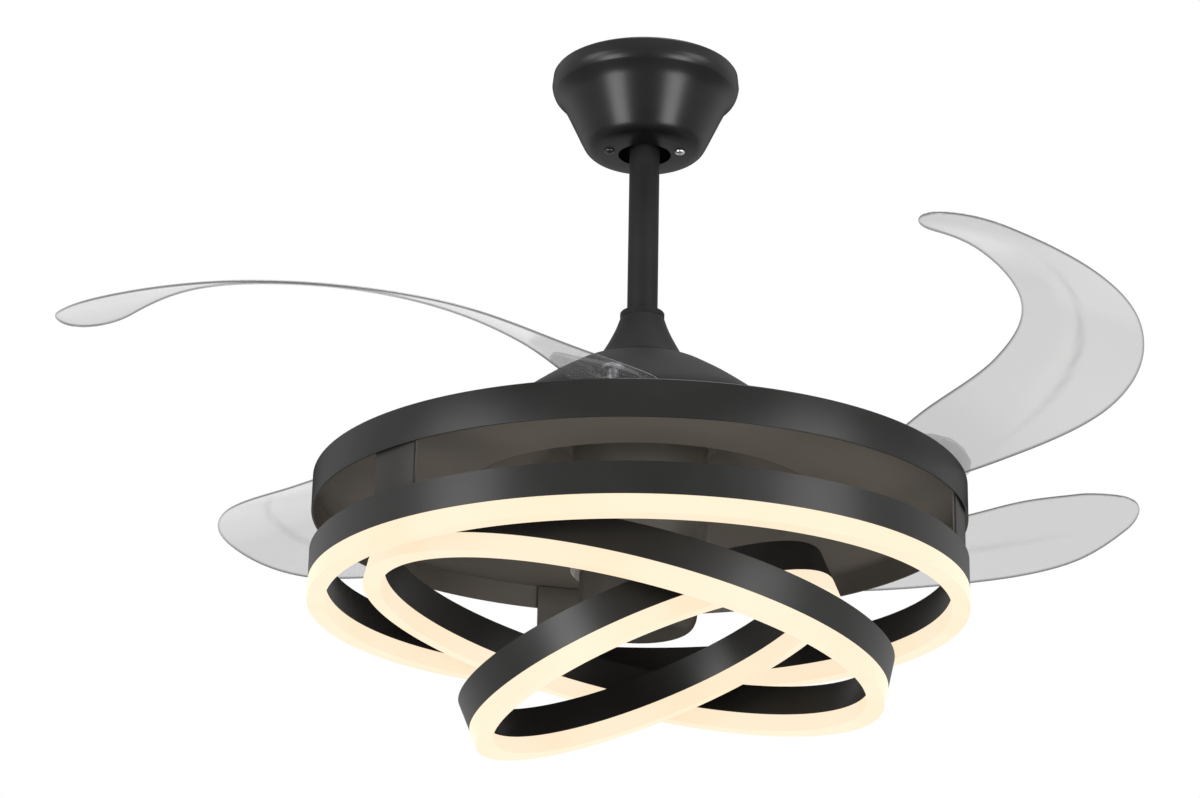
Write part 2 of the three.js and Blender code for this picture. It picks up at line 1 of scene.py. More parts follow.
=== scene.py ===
"""Looks of a ceiling fan with four folding clear blades and three lit hoops under a round body."""

import logging
import math
from dataclasses import dataclass
from enum import Enum
from typing import Any, Sequence

import bmesh
import bpy
import numpy as np
from mathutils import Matrix, Vector


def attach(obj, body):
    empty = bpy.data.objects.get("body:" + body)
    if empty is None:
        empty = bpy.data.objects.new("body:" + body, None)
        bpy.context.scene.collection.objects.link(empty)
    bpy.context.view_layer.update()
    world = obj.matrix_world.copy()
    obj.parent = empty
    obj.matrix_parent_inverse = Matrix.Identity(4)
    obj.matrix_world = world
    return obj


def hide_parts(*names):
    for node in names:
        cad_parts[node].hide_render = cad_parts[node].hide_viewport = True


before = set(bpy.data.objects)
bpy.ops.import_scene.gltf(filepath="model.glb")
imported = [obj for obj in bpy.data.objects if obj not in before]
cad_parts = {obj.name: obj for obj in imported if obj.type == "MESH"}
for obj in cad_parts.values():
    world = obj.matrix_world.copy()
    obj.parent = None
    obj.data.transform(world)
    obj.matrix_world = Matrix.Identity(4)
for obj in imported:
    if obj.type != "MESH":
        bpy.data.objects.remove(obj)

LOG = logging.getLogger("fan")
MM = 0.001
DROP = 350.0
BEND = 32.0  # degrees between two faces, above which their edge is sharp
HINGE = (210.0, -20.0)  # the first hinge pin, seen from above
BLADES = 4
SCREW_FOOT = 280.7  # underside of the canopy screws' heads
WHITE = (1.0, 1.0, 1.0)
DUST = (0.34, 0.33, 0.31)
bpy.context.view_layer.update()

Point = tuple[float, float]
Colour = tuple[float, float, float]


def up(height: float) -> float:
    """Turns a height above the body's top edge into one below the ceiling, in millimetres."""
    return height - DROP


def polar(radius: float, degrees: float) -> Point:
    """Gives the point at a radius and an angle."""
    angle = math.radians(degrees)
    return radius * math.cos(angle), radius * math.sin(angle)


# ---------------------------------------------------------------- shader maths


class Shade:
    """One output of a material's nodes, on which sums are written as Python."""

    def __init__(self, board: "Board", socket: bpy.types.NodeSocket) -> None:
        """Wraps a socket.

        Args:
            board: The material that the socket belongs to.
            socket: The output that is read.
        """
        self.board = board
        self.socket = socket

    def _sum(self, kind: str, first: Any, second: Any) -> "Shade":
        """Adds one Math node.

        Args:
            kind: The node's operation.
            first: Its first value or link.
            second: Its second value or link.

        Returns:
            The node's result.
        """
        return self.board.node("ShaderNodeMath", {"operation": kind}, {0: first, 1: second})

    def __add__(self, other: Any) -> "Shade":
        """Adds."""
        return self._sum("ADD", self, other)

    __radd__ = __add__

    def __sub__(self, other: Any) -> "Shade":
        """Takes the other away."""
        return self._sum("SUBTRACT", self, other)

    def __rsub__(self, other: Any) -> "Shade":
        """Takes this away from the other."""
        return self._sum("SUBTRACT", other, self)

    def __mul__(self, other: Any) -> "Shade":
        """Multiplies."""
        return self._sum("MULTIPLY", self, other)

    __rmul__ = __mul__

    def __truediv__(self, other: Any) -> "Shade":
        """Divides by the other."""
        return self._sum("DIVIDE", self, other)

    def __pow__(self, other: Any) -> "Shade":
        """Raises to a power."""
        return self._sum("POWER", self, other)

    def ramp(self, low: float, high: float) -> "Shade":
        """Runs smoothly from 0 at low to 1 at high.

        Args:
            low: The value that gives 0.
            high: The value that gives 1.

        Returns:
            The eased share.
        """
        settings = {"interpolation_type": "SMOOTHSTEP"}
        return self.board.node("ShaderNodeMapRange", settings, {0: self, 1: low, 2: high})


class Board:
    """The node tree of one material."""

    def __init__(self, name: str) -> None:
        """Starts an empty material.

        Args:
            name: The material's name.
        """
        self.material = bpy.data.materials.new(name)
        self.material.use_nodes = True
        self.tree = self.material.node_tree
        self.tree.nodes.clear()

    def node(
        self, kind: str, settings: dict[str, Any] | None = None,
        inputs: dict[int | str, Any] | None = None, output: int | str = 0,
    ) -> Shade:
        """Adds a node of any type.

        Args:
            kind: The node's type.
            settings: Its own settings, which are set first; "stops" fills a colour ramp.
            inputs: A value or a link for each named or numbered socket.
            output: The socket that is handed back.

        Returns:
            The chosen output.
        """
        made = self.tree.nodes.new(kind)
        for key, value in (settings or {}).items():
            if key == "stops":
                self._fill(made.color_ramp, value)
            else:
                setattr(made, key, value)
        for key, value in (inputs or {}).items():
            if isinstance(value, Shade):
                self.tree.links.new(value.socket, made.inputs[key])
            else:
                made.inputs[key].default_value = value
        return Shade(self, made.outputs[output])

    @staticmethod
    def _fill(ramp: bpy.types.ColorRamp, stops: Sequence[tuple[float, Colour]]) -> None:
        """Gives a colour ramp its stops.

        Args:
            ramp: The ramp to fill.
            stops: Each stop's place and colour.
        """
        while len(ramp.elements) < len(stops):
            ramp.elements.new(0.5)
        for element, (place, colour) in zip(ramp.elements, stops):
            element.position = place
            element.color = (*colour, 1.0)

    def place(self, scale: tuple[float, float, float] = (1.0, 1.0, 1.0)) -> Shade:
        """Reads the piece's own coordinates, in metres, stretched by scale."""
        where = self.node("ShaderNodeTexCoord", output="Object")
        return self.node("ShaderNodeMapping", None, {"Vector": where, "Scale": scale})

    def noise(self, where: Shade, scale: float, detail: float = 2.0) -> Shade:
        """Makes soft noise of a given fineness.

        Args:
            where: The coordinates.
            scale: Cycles to a metre.
            detail: How many finer layers are added.

        Returns:
            A value about 0.5.
        """
        inputs = {"Vector": where, "Scale": scale, "Detail": detail, "Roughness": 0.55}
        return self.node("ShaderNodeTexNoise", {"noise_dimensions": "3D"}, inputs)

    def blend(self, first: Any, second: Any, share: Any) -> Shade:
        """Mixes two colours.

        Args:
            first: The colour at share 0.
            second: The colour at share 1.
            share: How much of the second is taken.

        Returns:
            The mixed colour.
        """
        wide = [c if isinstance(c, Shade) else (*c, 1.0) for c in (first, second)]
        settings = {"data_type": "RGBA", "clamp_factor": True}
        return self.node("ShaderNodeMix", settings, {0: share, 6: wide[0], 7: wide[1]}, 2)

    def bump(self, height: Shade, strength: float, distance: float) -> Shade:
        """Raises the surface by a height.

        Args:
            height: The height, from 0 to 1.
            strength: The share of the effect.
            distance: The height of 1, in metres.

        Returns:
            The bent normal.
        """
        inputs = {"Strength": strength, "Distance": distance, "Height": height}
        return self.node("ShaderNodeBump", None, inputs, "Normal")

    def surface(self, inputs: dict[str, Any], dull: Shade | None = None) -> bpy.types.Material:
        """Ends the tree in one shader.

        Args:
            inputs: The shader's sockets.
            dull: How far the gloss is lost.

        Returns:
            The finished material.
        """
        shader = self.node("ShaderNodeBsdfPrincipled", None, inputs)
        if dull is not None:
            chalk = self.node("ShaderNodeBsdfDiffuse", None, {"Color": inputs["Base Color"]})
            shader = self.node("ShaderNodeMixShader", None, {0: dull, 1: shader, 2: chalk})
        out = self.tree.nodes.new("ShaderNodeOutputMaterial")
        self.tree.links.new(shader.socket, out.inputs["Surface"])
        return self.material


# ---------------------------------------------------------------- finishes


class Slot(Enum):
    """The record's material slots that the pieces made here belong to."""

    BLACK = "black_enamel"
    CHARCOAL = "charcoal_enamel"
    ZINC = "zinc_plate"
    STEEL = "steel"
    BLACK_PLASTIC = "black_plastic"
    WHITE_PLASTIC = "white_plastic"
    BLADE = "smoky_blade"
    LENS = "warm_lens"
    STRIP = "lamp_strip"


@dataclass(frozen=True)
class Enamel:
    """Satin baked enamel on sheet metal: faint orange peel, cloudy gloss and a film of dust on top.

    Faces that look inwards or down within reach of the axis may get a paler, rougher colour: painted
    light that stands in for the glow of the lit hoops below. Those that look at the axis may instead be
    painted near black and without gloss: painted shade inside a hollow.
    """

    name: str
    colour: Colour
    roughness: float = 0.36
    gloss: float = 0.2
    dust: float = 0.03
    inside: Colour | None = None
    reach: float = 0.249
    hollow: float | None = None
    flat: float = 0.5

    def dress(self) -> bpy.types.Material:
        """Builds the material."""
        board = Board(self.name)
        spot = board.place()
        cloud = board.noise(spot, 11.0, 3.0)
        peel = board.noise(spot, 620.0, 1.0)
        lighter = tuple(min(1.0, c * 1.35 + 0.002) for c in self.colour)
        base = board.blend(self.colour, lighter, cloud.ramp(0.35, 0.75))
        facing = board.node("ShaderNodeNewGeometry", output="Normal")
        height = board.node("ShaderNodeSeparateXYZ", None, {0: facing}, "Z")
        film = height.ramp(0.55, 1.0) * board.noise(spot, 55.0, 4.0) * self.dust
        base = board.blend(base, DUST, film)
        rough = self.roughness + 0.10 * (cloud - 0.5) + 0.5 * film
        # Painted light: faces inside the reach that don't look up get the paler inside colour, with
        # darker random patches, in place of the glow of the lit hoops below.
        if self.inside is not None:
            flat = board.place((1.0, 1.0, 0.0))
            radius = board.node("ShaderNodeVectorMath", {"operation": "LENGTH"}, {0: flat}, "Value")
            shell = radius.ramp(self.reach - 0.0004, self.reach)
            within = (1.0 - shell) * (1.0 - height.ramp(0.0, 0.4))
            glow_patch = tuple(c * 0.8 for c in self.inside)
            base = board.blend(base, board.blend(self.inside, glow_patch, cloud), within)
            rough = rough + 0.25 * within
        away = board.node("ShaderNodeLayerWeight", None, {"Blend": 0.5}, "Facing")
        dull = away.ramp(0.38, 1.0) * self.flat
        # Painted shade: faces that look at the axis get a near-black colour and lose their gloss,
        # standing in for the shade inside a hollow.
        if self.hollow is not None:
            pair = {0: facing, 1: board.place((1.0, 1.0, 0.0))}
            lean = board.node("ShaderNodeVectorMath", {"operation": "DOT_PRODUCT"}, pair, "Value")
            outer = lean.ramp(-0.014, -0.006)
            base = board.blend((self.hollow,) * 3, base, outer)
            dull = 1.0 - (1.0 - dull) * outer
        return board.surface({
            "Base Color": base,
            "Roughness": rough,
            "Specular IOR Level": self.gloss,
            "Normal": board.bump(peel, 0.10, 0.00025),
        }, dull)


@dataclass(frozen=True)
class Brushed:
    """Bare metal with fine tool lines round or along the piece."""

    name: str
    colour: Colour
    roughness: float = 0.30
    lines: tuple[float, float, float] = (60.0, 60.0, 2600.0)

    def dress(self) -> bpy.types.Material:
        """Builds the material."""
        board = Board(self.name)
        cut = board.noise(board.place(self.lines), 1.0, 2.0)
        cloud = board.noise(board.place(), 45.0, 3.0)
        darker = tuple(c * 0.78 for c in self.colour)
        return board.surface({
            "Base Color": board.blend(self.colour, darker, cloud.ramp(0.45, 0.8)),
            "Metallic": 1.0,
            "Roughness": self.roughness + 0.16 * (cut - 0.5) + 0.08 * (cloud - 0.5),
            "Normal": board.bump(cut, 0.16, 0.00012),
        })


@dataclass(frozen=True)
class Galvanised:
    """Zinc plate with its patchwork of dull and bright crystals."""

    name: str
    colour: Colour
    crystal: float = 160.0

    def dress(self) -> bpy.types.Material:
        """Builds the material."""
        board = Board(self.name)
        spot = board.place()
        inputs = {"Vector": spot, "Scale": self.crystal, "Randomness": 1.0}
        patch = board.node("ShaderNodeTexVoronoi", {"feature": "F1"}, inputs, "Color")
        tone = board.node("ShaderNodeSeparateColor", None, {0: patch}, 0)
        scuff = board.noise(board.place((400.0, 60.0, 60.0)), 1.0, 3.0)
        darker = tuple(c * 0.7 for c in self.colour)
        return board.surface({
            "Base Color": board.blend(self.colour, darker, tone * 0.55),
            "Metallic": 1.0,
            "Roughness": 0.34 + 0.14 * tone + 0.12 * (scuff - 0.5),
            "Normal": board.bump(scuff, 0.10, 0.00015),
        })


@dataclass(frozen=True)
class Wound:
    """Enamelled copper wire laid turn beside turn, with a painted highlight and shade on each turn."""

    name: str = "wound_copper"
    wire: float = 0.0009

    def dress(self) -> bpy.types.Material:
        """Builds the material."""
        board = Board(self.name)
        spot = board.place()
        across = board.node("ShaderNodeSeparateXYZ", None, {0: spot}, "Z")
        turn = board.node("ShaderNodeMath", {"operation": "FRACT"}, {0: across / self.wire})
        round_wire = 1.0 - (2.0 * turn - 1.0) ** 2.0
        cloud = board.noise(spot, 90.0, 2.0)
        # Painted highlight and shade: the base colour runs from dark in the grooves to light on each
        # turn's crown.
        base = board.blend((0.30, 0.10, 0.03), (0.66, 0.27, 0.10), round_wire * (0.6 + 0.6 * cloud))
        return board.surface({
            "Base Color": base,
            "Metallic": 0.85,
            "Roughness": 0.30 + 0.15 * cloud,
            "Normal": board.bump(round_wire, 0.7, 0.0003),
        })


@dataclass(frozen=True)
class Laminated:
    """Thin iron sheets stacked along the shaft, or a plain pressed magnet where sheets are off."""

    name: str
    colour: Colour
    sheet: float = 0.0005
    depth: float = 0.5

    def dress(self) -> bpy.types.Material:
        """Builds the material."""
        board = Board(self.name)
        spot = board.place()
        height = board.node("ShaderNodeSeparateXYZ", None, {0: spot}, "Z")
        edge = board.node("ShaderNodeMath", {"operation": "PINGPONG"}, {0: height, 1: self.sheet})
        groove = (edge / self.sheet).ramp(0.0, 0.6)
        speck = board.noise(spot, 420.0, 4.0)
        darker = tuple(c * 0.45 for c in self.colour)
        base = board.blend(darker, self.colour, groove * self.depth + (1.0 - self.depth) * speck)
        return board.surface({
            "Base Color": base,
            "Metallic": 0.7,
            "Roughness": 0.48 + 0.2 * (speck - 0.5),
            "Normal": board.bump(groove + 0.4 * speck, 0.35, 0.0002),
        })


@dataclass(frozen=True)
class Moulded:
    """Moulded plastic with a fine spark-eroded grain."""

    name: str
    colour: Colour
    roughness: float = 0.46
    grain: float = 900.0

    def dress(self) -> bpy.types.Material:
        """Builds the material."""
        board = Board(self.name)
        spot = board.place()
        cloud = board.noise(spot, 30.0, 3.0)
        grain = board.noise(spot, self.grain, 2.0)
        darker = tuple(c * 0.86 for c in self.colour)
        return board.surface({
            "Base Color": board.blend(self.colour, darker, cloud.ramp(0.4, 0.8)),
            "Roughness": self.roughness + 0.12 * (grain - 0.5),
            "Specular IOR Level": 0.45,
            "Normal": board.bump(grain, 0.22, 0.0002),
        })


@dataclass(frozen=True)
class ClearGrey:
    """Clear grey plastic with a painted dark outline at its polished rim and painted shade at its
    crease.
    """

    name: str = "clear_grey"
    colour: Colour = (0.20, 0.20, 0.205)
    rim_colour: Colour = (0.03, 0.03, 0.035)
    density: float = 0.27

    def dress(self) -> bpy.types.Material:
        """Builds the material."""
        board = Board(self.name)
        spot = board.place()
        rim = board.node("ShaderNodeAttribute", {"attribute_name": "rim"}, None, "Fac")
        fold = board.node("ShaderNodeAttribute", {"attribute_name": "crease"}, None, "Fac")
        haze = board.noise(spot, 9.0, 2.0)
        # Painted shade: near the rim the colour darkens and the plastic grows denser, and along the
        # crease it grows denser, as a dark outline and a shade line.
        edge = rim ** 1.5
        base = board.blend(self.colour, self.rim_colour, edge)
        thick = self.density + 0.03 * (haze - 0.5) + 0.10 * fold + 0.62 * edge
        return board.surface({
            "Base Color": base,
            "Roughness": 0.10 + 0.08 * haze,
            "IOR": 1.49,
            "Alpha": thick,
            "Normal": board.bump(haze, 0.05, 0.001),
        })


@dataclass(frozen=True)
class Lit:
    """A frosted cover lit evenly from inside, a little deeper in tone where the light is thin."""

    name: str
    colour: Colour
    deep: Colour
    strength: float = 1.0

    def dress(self) -> bpy.types.Material:
        """Builds the material."""
        board = Board(self.name)
        spot = board.place()
        cloud = board.noise(spot, 14.0, 2.0)
        frost = board.noise(spot, 1100.0, 2.0)
        glow = board.blend(self.colour, self.deep, cloud.ramp(0.35, 0.8))
        return board.surface({
            "Base Color": (0.06, 0.055, 0.045, 1.0),
            "Emission Color": glow,
            "Emission Strength": self.strength,
            "Roughness": 0.42 + 0.1 * (frost - 0.5),
            "Specular IOR Level": 0.1,
            "Normal": board.bump(frost, 0.15, 0.0001),
        })


class Paints:
    """Every finish of the fan, built once and handed out by name."""

    def __init__(self) -> None:
        """Builds the finishes."""
        self.of: dict[str, bpy.types.Material] = {}
        for finish in (
            # Painted shade: the canopy's faces that look at the axis are near black and without gloss.
            Enamel("canopy_satin", (0.0035, 0.0034, 0.0035), 0.31, 0.22, hollow=0.0015, flat=0.9),
            Enamel("black_matt", (0.0062, 0.0061, 0.0061), 0.62, 0.13, flat=0.2),
            Enamel("charcoal_satin", (0.0036, 0.0034, 0.0031), 0.34, 0.26),
            # Painted light: the pan's inner faces get a pale warm colour for the glow of the lit hoops
            # below.
            Enamel("pan_satin", (0.0036, 0.0034, 0.0031), 0.34, 0.24, inside=(0.115, 0.102, 0.087),
                   flat=0.9),
            # Painted light: the column is dark enamel like the pan; its colour here is far paler,
            # standing in for light that can't reach it inside the pan.
            Enamel("column_satin", (0.115, 0.107, 0.094), 0.36, 0.5, flat=0.0),
            # Painted light: the cup is black enamel; its colour here is paler, standing in for light
            # from below.
            Enamel("cup_satin", (0.040, 0.036, 0.031), 0.45, 0.15, flat=2.0),
            # Painted light: the straps' inner faces get a pale warm colour for the glow of the lit hoops
            # below.
            Enamel("strap_satin", (0.012, 0.011, 0.010), 0.42, 0.2, inside=(0.12, 0.110, 0.097),
                   reach=0.2466),
            Brushed("turned_steel", (0.66, 0.67, 0.69)),
            # Painted shade: a dark copy of the screws' steel, given to the left canopy screw only so
            # that it looks shaded.
            Brushed("shaded_steel", (0.06, 0.06, 0.065), 0.42),
            Brushed("dull_steel", (0.34, 0.34, 0.35), 0.42),
            Galvanised("zinc", (0.58, 0.59, 0.61)),
            # Painted shade: a near-black copy of the zinc, given to the ceiling bracket so that it looks
            # shaded inside the canopy.
            Galvanised("black_zinc", (0.014, 0.014, 0.016)),
            Wound(),
            Laminated("iron_stack", (0.36, 0.36, 0.38)),
            Laminated("ferrite", (0.10, 0.10, 0.105), 0.002, 0.1),
            Moulded("black_moulding", (0.020, 0.020, 0.021)),
            Moulded("white_moulding", (0.74, 0.73, 0.70), 0.40),
            ClearGrey(),
            Lit("lens_glow", (0.95, 0.80, 0.60), (0.95, 0.765, 0.545)),
            Moulded("strip_board", (0.80, 0.78, 0.70), 0.5, 300.0),
            Lit("lamp_dot", (1.0, 0.62, 0.12), (0.95, 0.5, 0.08), 1.2),
        ):
            self.of[finish.name] = finish.dress()

    def __getitem__(self, name: str) -> bpy.types.Material:
        """Hands out a finish."""
        return self.of[name]


# ---------------------------------------------------------------- mesh work


def signed_volume(mesh: bpy.types.Mesh) -> float:
    """Measures a closed mesh; the result is negative where it is inside out."""
    work = bmesh.new()
    work.from_mesh(mesh)
    volume = work.calc_volume(signed=True)
    work.free()
    return volume


def smoothed(mesh: bpy.types.Mesh, degrees: float = BEND) -> None:
    """Shades a mesh smooth, with sharp lines where it bends more than a limit."""
    if signed_volume(mesh) < 0.0:
        mesh.flip_normals()
    mesh.shade_smooth()
    mesh.set_sharp_from_angle(angle=math.radians(degrees))


def piece_of(
    name: str, points: Sequence[Sequence[float]], faces: Sequence[Sequence[int]],
    place: Matrix | None = None, degrees: float = BEND,
) -> bpy.types.Object:
    """Makes a finished piece from points in millimetres.

    Args:
        name: The piece's name.
        points: Its corners, in millimetres.
        faces: Its faces.
        place: A turn and shift, in millimetres, put into the corners.
        degrees: How far two faces may bend before their edge is sharp.

    Returns:
        The piece, at the origin.
    """
    mesh = bpy.data.meshes.new(name)
    mesh.from_pydata([Vector(p) for p in points], [], faces)
    if place is not None:
        mesh.transform(place)
    mesh.transform(Matrix.Scale(MM, 4))
    mesh.validate()
    smoothed(mesh, degrees)
    piece = bpy.data.objects.new(name, mesh)
    bpy.context.scene.collection.objects.link(piece)
    return piece


def eased(outline: Sequence[Point], radius: float, steps: int = 4) -> list[Point]:
    """Rounds the sharp corners of a closed outline.

    Args:
        outline: Corners as (radius, height).
        radius: The rounding, made smaller where an edge is short.
        steps: Points on each rounded corner, less one.

    Returns:
        The rounded outline.
    """
    out: list[Point] = []
    count = len(outline)
    for i, here in enumerate(outline):
        p, a, b = Vector(here), Vector(outline[i - 1]), Vector(outline[(i + 1) % count])
        back, on = a - p, b - p
        if back.length < 1e-6 or on.length < 1e-6:
            continue
        bend = math.pi - back.angle(on)
        if here[0] <= 0.0 or bend < math.radians(24.0):
            out.append((p.x, p.y))
            continue
        reach = min(radius * math.tan(bend / 2.0), 0.4 * back.length, 0.4 * on.length)
        start, end = p + back.normalized() * reach, p + on.normalized() * reach
        for k in range(steps + 1):
            t = k / steps
            q = start * (1 - t) ** 2 + p * (2 * t * (1 - t)) + end * t**2
            out.append((q.x, q.y))
    return out


def flowing(points: Sequence[Point], steps: int = 5) -> list[Point]:
    """Runs a smooth line through some points.

    Args:
        points: Where the line passes.
        steps: Pieces between two of them.

    Returns:
        The finer line.
    """
    line: list[Point] = []
    last = len(points) - 1
    for i in range(last):
        p = [Vector(points[min(max(i + k, 0), last)]) for k in (-1, 0, 1, 2)]
        for k in range(steps):
            t = k / steps
            q = 0.5 * (
                2 * p[1] + (p[2] - p[0]) * t + (2 * p[0] - 5 * p[1] + 4 * p[2] - p[3]) * t * t
                + (3 * (p[1] - p[2]) + p[3] - p[0]) * t**3
            )
            line.append((q.x, q.y))
    line.append(tuple(points[last]))
    return line


def lathe(
    name: str, outline: Sequence[Point], segments: int = 144, place: Matrix | None = None,
    degrees: float = BEND,
) -> bpy.types.Object:
    """Turns a closed outline about the fan's axis.

    Args:
        name: The piece's name.
        outline: Corners as (radius, height above the body's top edge).
        segments: Facets round the piece.
        place: A turn and shift put into the corners, in place of the drop below the ceiling.
        degrees: How far two faces may bend before their edge is sharp.

    Returns:
        The piece.
    """
    points: list[tuple[float, float, float]] = []
    rings: list[list[int]] = []
    for r, z in outline:
        if r <= 1e-6:
            rings.append([len(points)] * segments)
            points.append((0.0, 0.0, z))
            continue
        rings.append(list(range(len(points), len(points) + segments)))
        for k in range(segments):
            x, y = polar(r, 360.0 * k / segments)
            points.append((x, y, z))
    faces = []
    for i, here in enumerate(rings):
        on = rings[(i + 1) % len(rings)]
        if here[0] == here[1] and on[0] == on[1]:
            continue
        for k in range(segments):
            n = (k + 1) % segments
            loop = [here[k], here[n], on[n], on[k]]
            face = [v for j, v in enumerate(loop) if v != loop[j - 1]]
            faces.append(face)
    drop = place if place is not None else Matrix.Translation((0.0, 0.0, -DROP))
    return piece_of(name, points, faces, drop, degrees)


def carved(piece: bpy.types.Object, cutter: bpy.types.Object) -> None:
    """Takes a cutter's shape out of a piece and removes the cutter.

    Args:
        piece: The piece that is cut.
        cutter: A closed mesh.
    """
    cut = piece.modifiers.new("cut", "BOOLEAN")
    cut.operation = "DIFFERENCE"
    cut.solver = "EXACT"
    cut.object = cutter
    baked(piece)
    bpy.data.objects.remove(cutter)


def baked(piece: bpy.types.Object, degrees: float = BEND) -> bpy.types.Object:
    """Puts a piece's modifiers into its mesh.

    Args:
        piece: The piece.
        degrees: The sharp-edge limit of the result.

    Returns:
        The same piece, without modifiers.
    """
    graph = bpy.context.evaluated_depsgraph_get()
    mesh = bpy.data.meshes.new_from_object(piece.evaluated_get(graph))
    mesh.name = piece.name
    piece.modifiers.clear()
    piece.data = mesh
    smoothed(mesh, degrees)
    return piece


def pegs(name: str, spots: Sequence[Point], radius: float, low: float, high: float) -> bpy.types.Object:
    """Makes upright cylinders, joined in one cutter.

    Args:
        name: The cutter's name.
        spots: Where they stand.
        radius: Their radius.
        low: Their lower end above the body's top edge.
        high: Their upper end.

    Returns:
        The cutter.
    """
    points, faces, sides = [], [], 32
    for x, y in spots:
        base = len(points)
        for z in (low, high):
            for k in range(sides):
                dx, dy = polar(radius, 360.0 * k / sides)
                points.append((x + dx, y + dy, up(z)))
        faces.append([base + k for k in reversed(range(sides))])
        faces.append([base + sides + k for k in range(sides)])
        for k in range(sides):
            n = (k + 1) % sides
            faces.append([base + k, base + n, base + sides + n, base + sides + k])
    return piece_of(name, points, faces)


def softened(name: str, node: str, width: float = 0.5, degrees: float = 28.0) -> bpy.types.Object:
    """Copies a sheet-metal or boxy node and breaks its sharp edges.

    Args:
        name: The piece's name.
        node: The CAD node.
        width: The edge's width in millimetres.
        degrees: Edges that bend more than this are broken.

    Returns:
        The piece.
    """
    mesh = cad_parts[node].data.copy()
    mesh.name = name
    mesh.materials.clear()
    work = bmesh.new()
    work.from_mesh(mesh)
    bmesh.ops.remove_doubles(work, verts=work.verts, dist=1e-6)
    bmesh.ops.dissolve_limit(work, angle_limit=math.radians(1.0), verts=work.verts, edges=work.edges)
    work.to_mesh(mesh)
    work.free()
    piece = bpy.data.objects.new(name, mesh)
    bpy.context.scene.collection.objects.link(piece)
    edge = piece.modifiers.new("edge", "BEVEL")
    edge.width = width * MM
    edge.segments = 2
    edge.limit_method = "ANGLE"
    edge.angle_limit = math.radians(degrees)
    edge.use_clamp_overlap = True
    return baked(piece, 40.0)


# ---------------------------------------------------------------- repeated and swept pieces


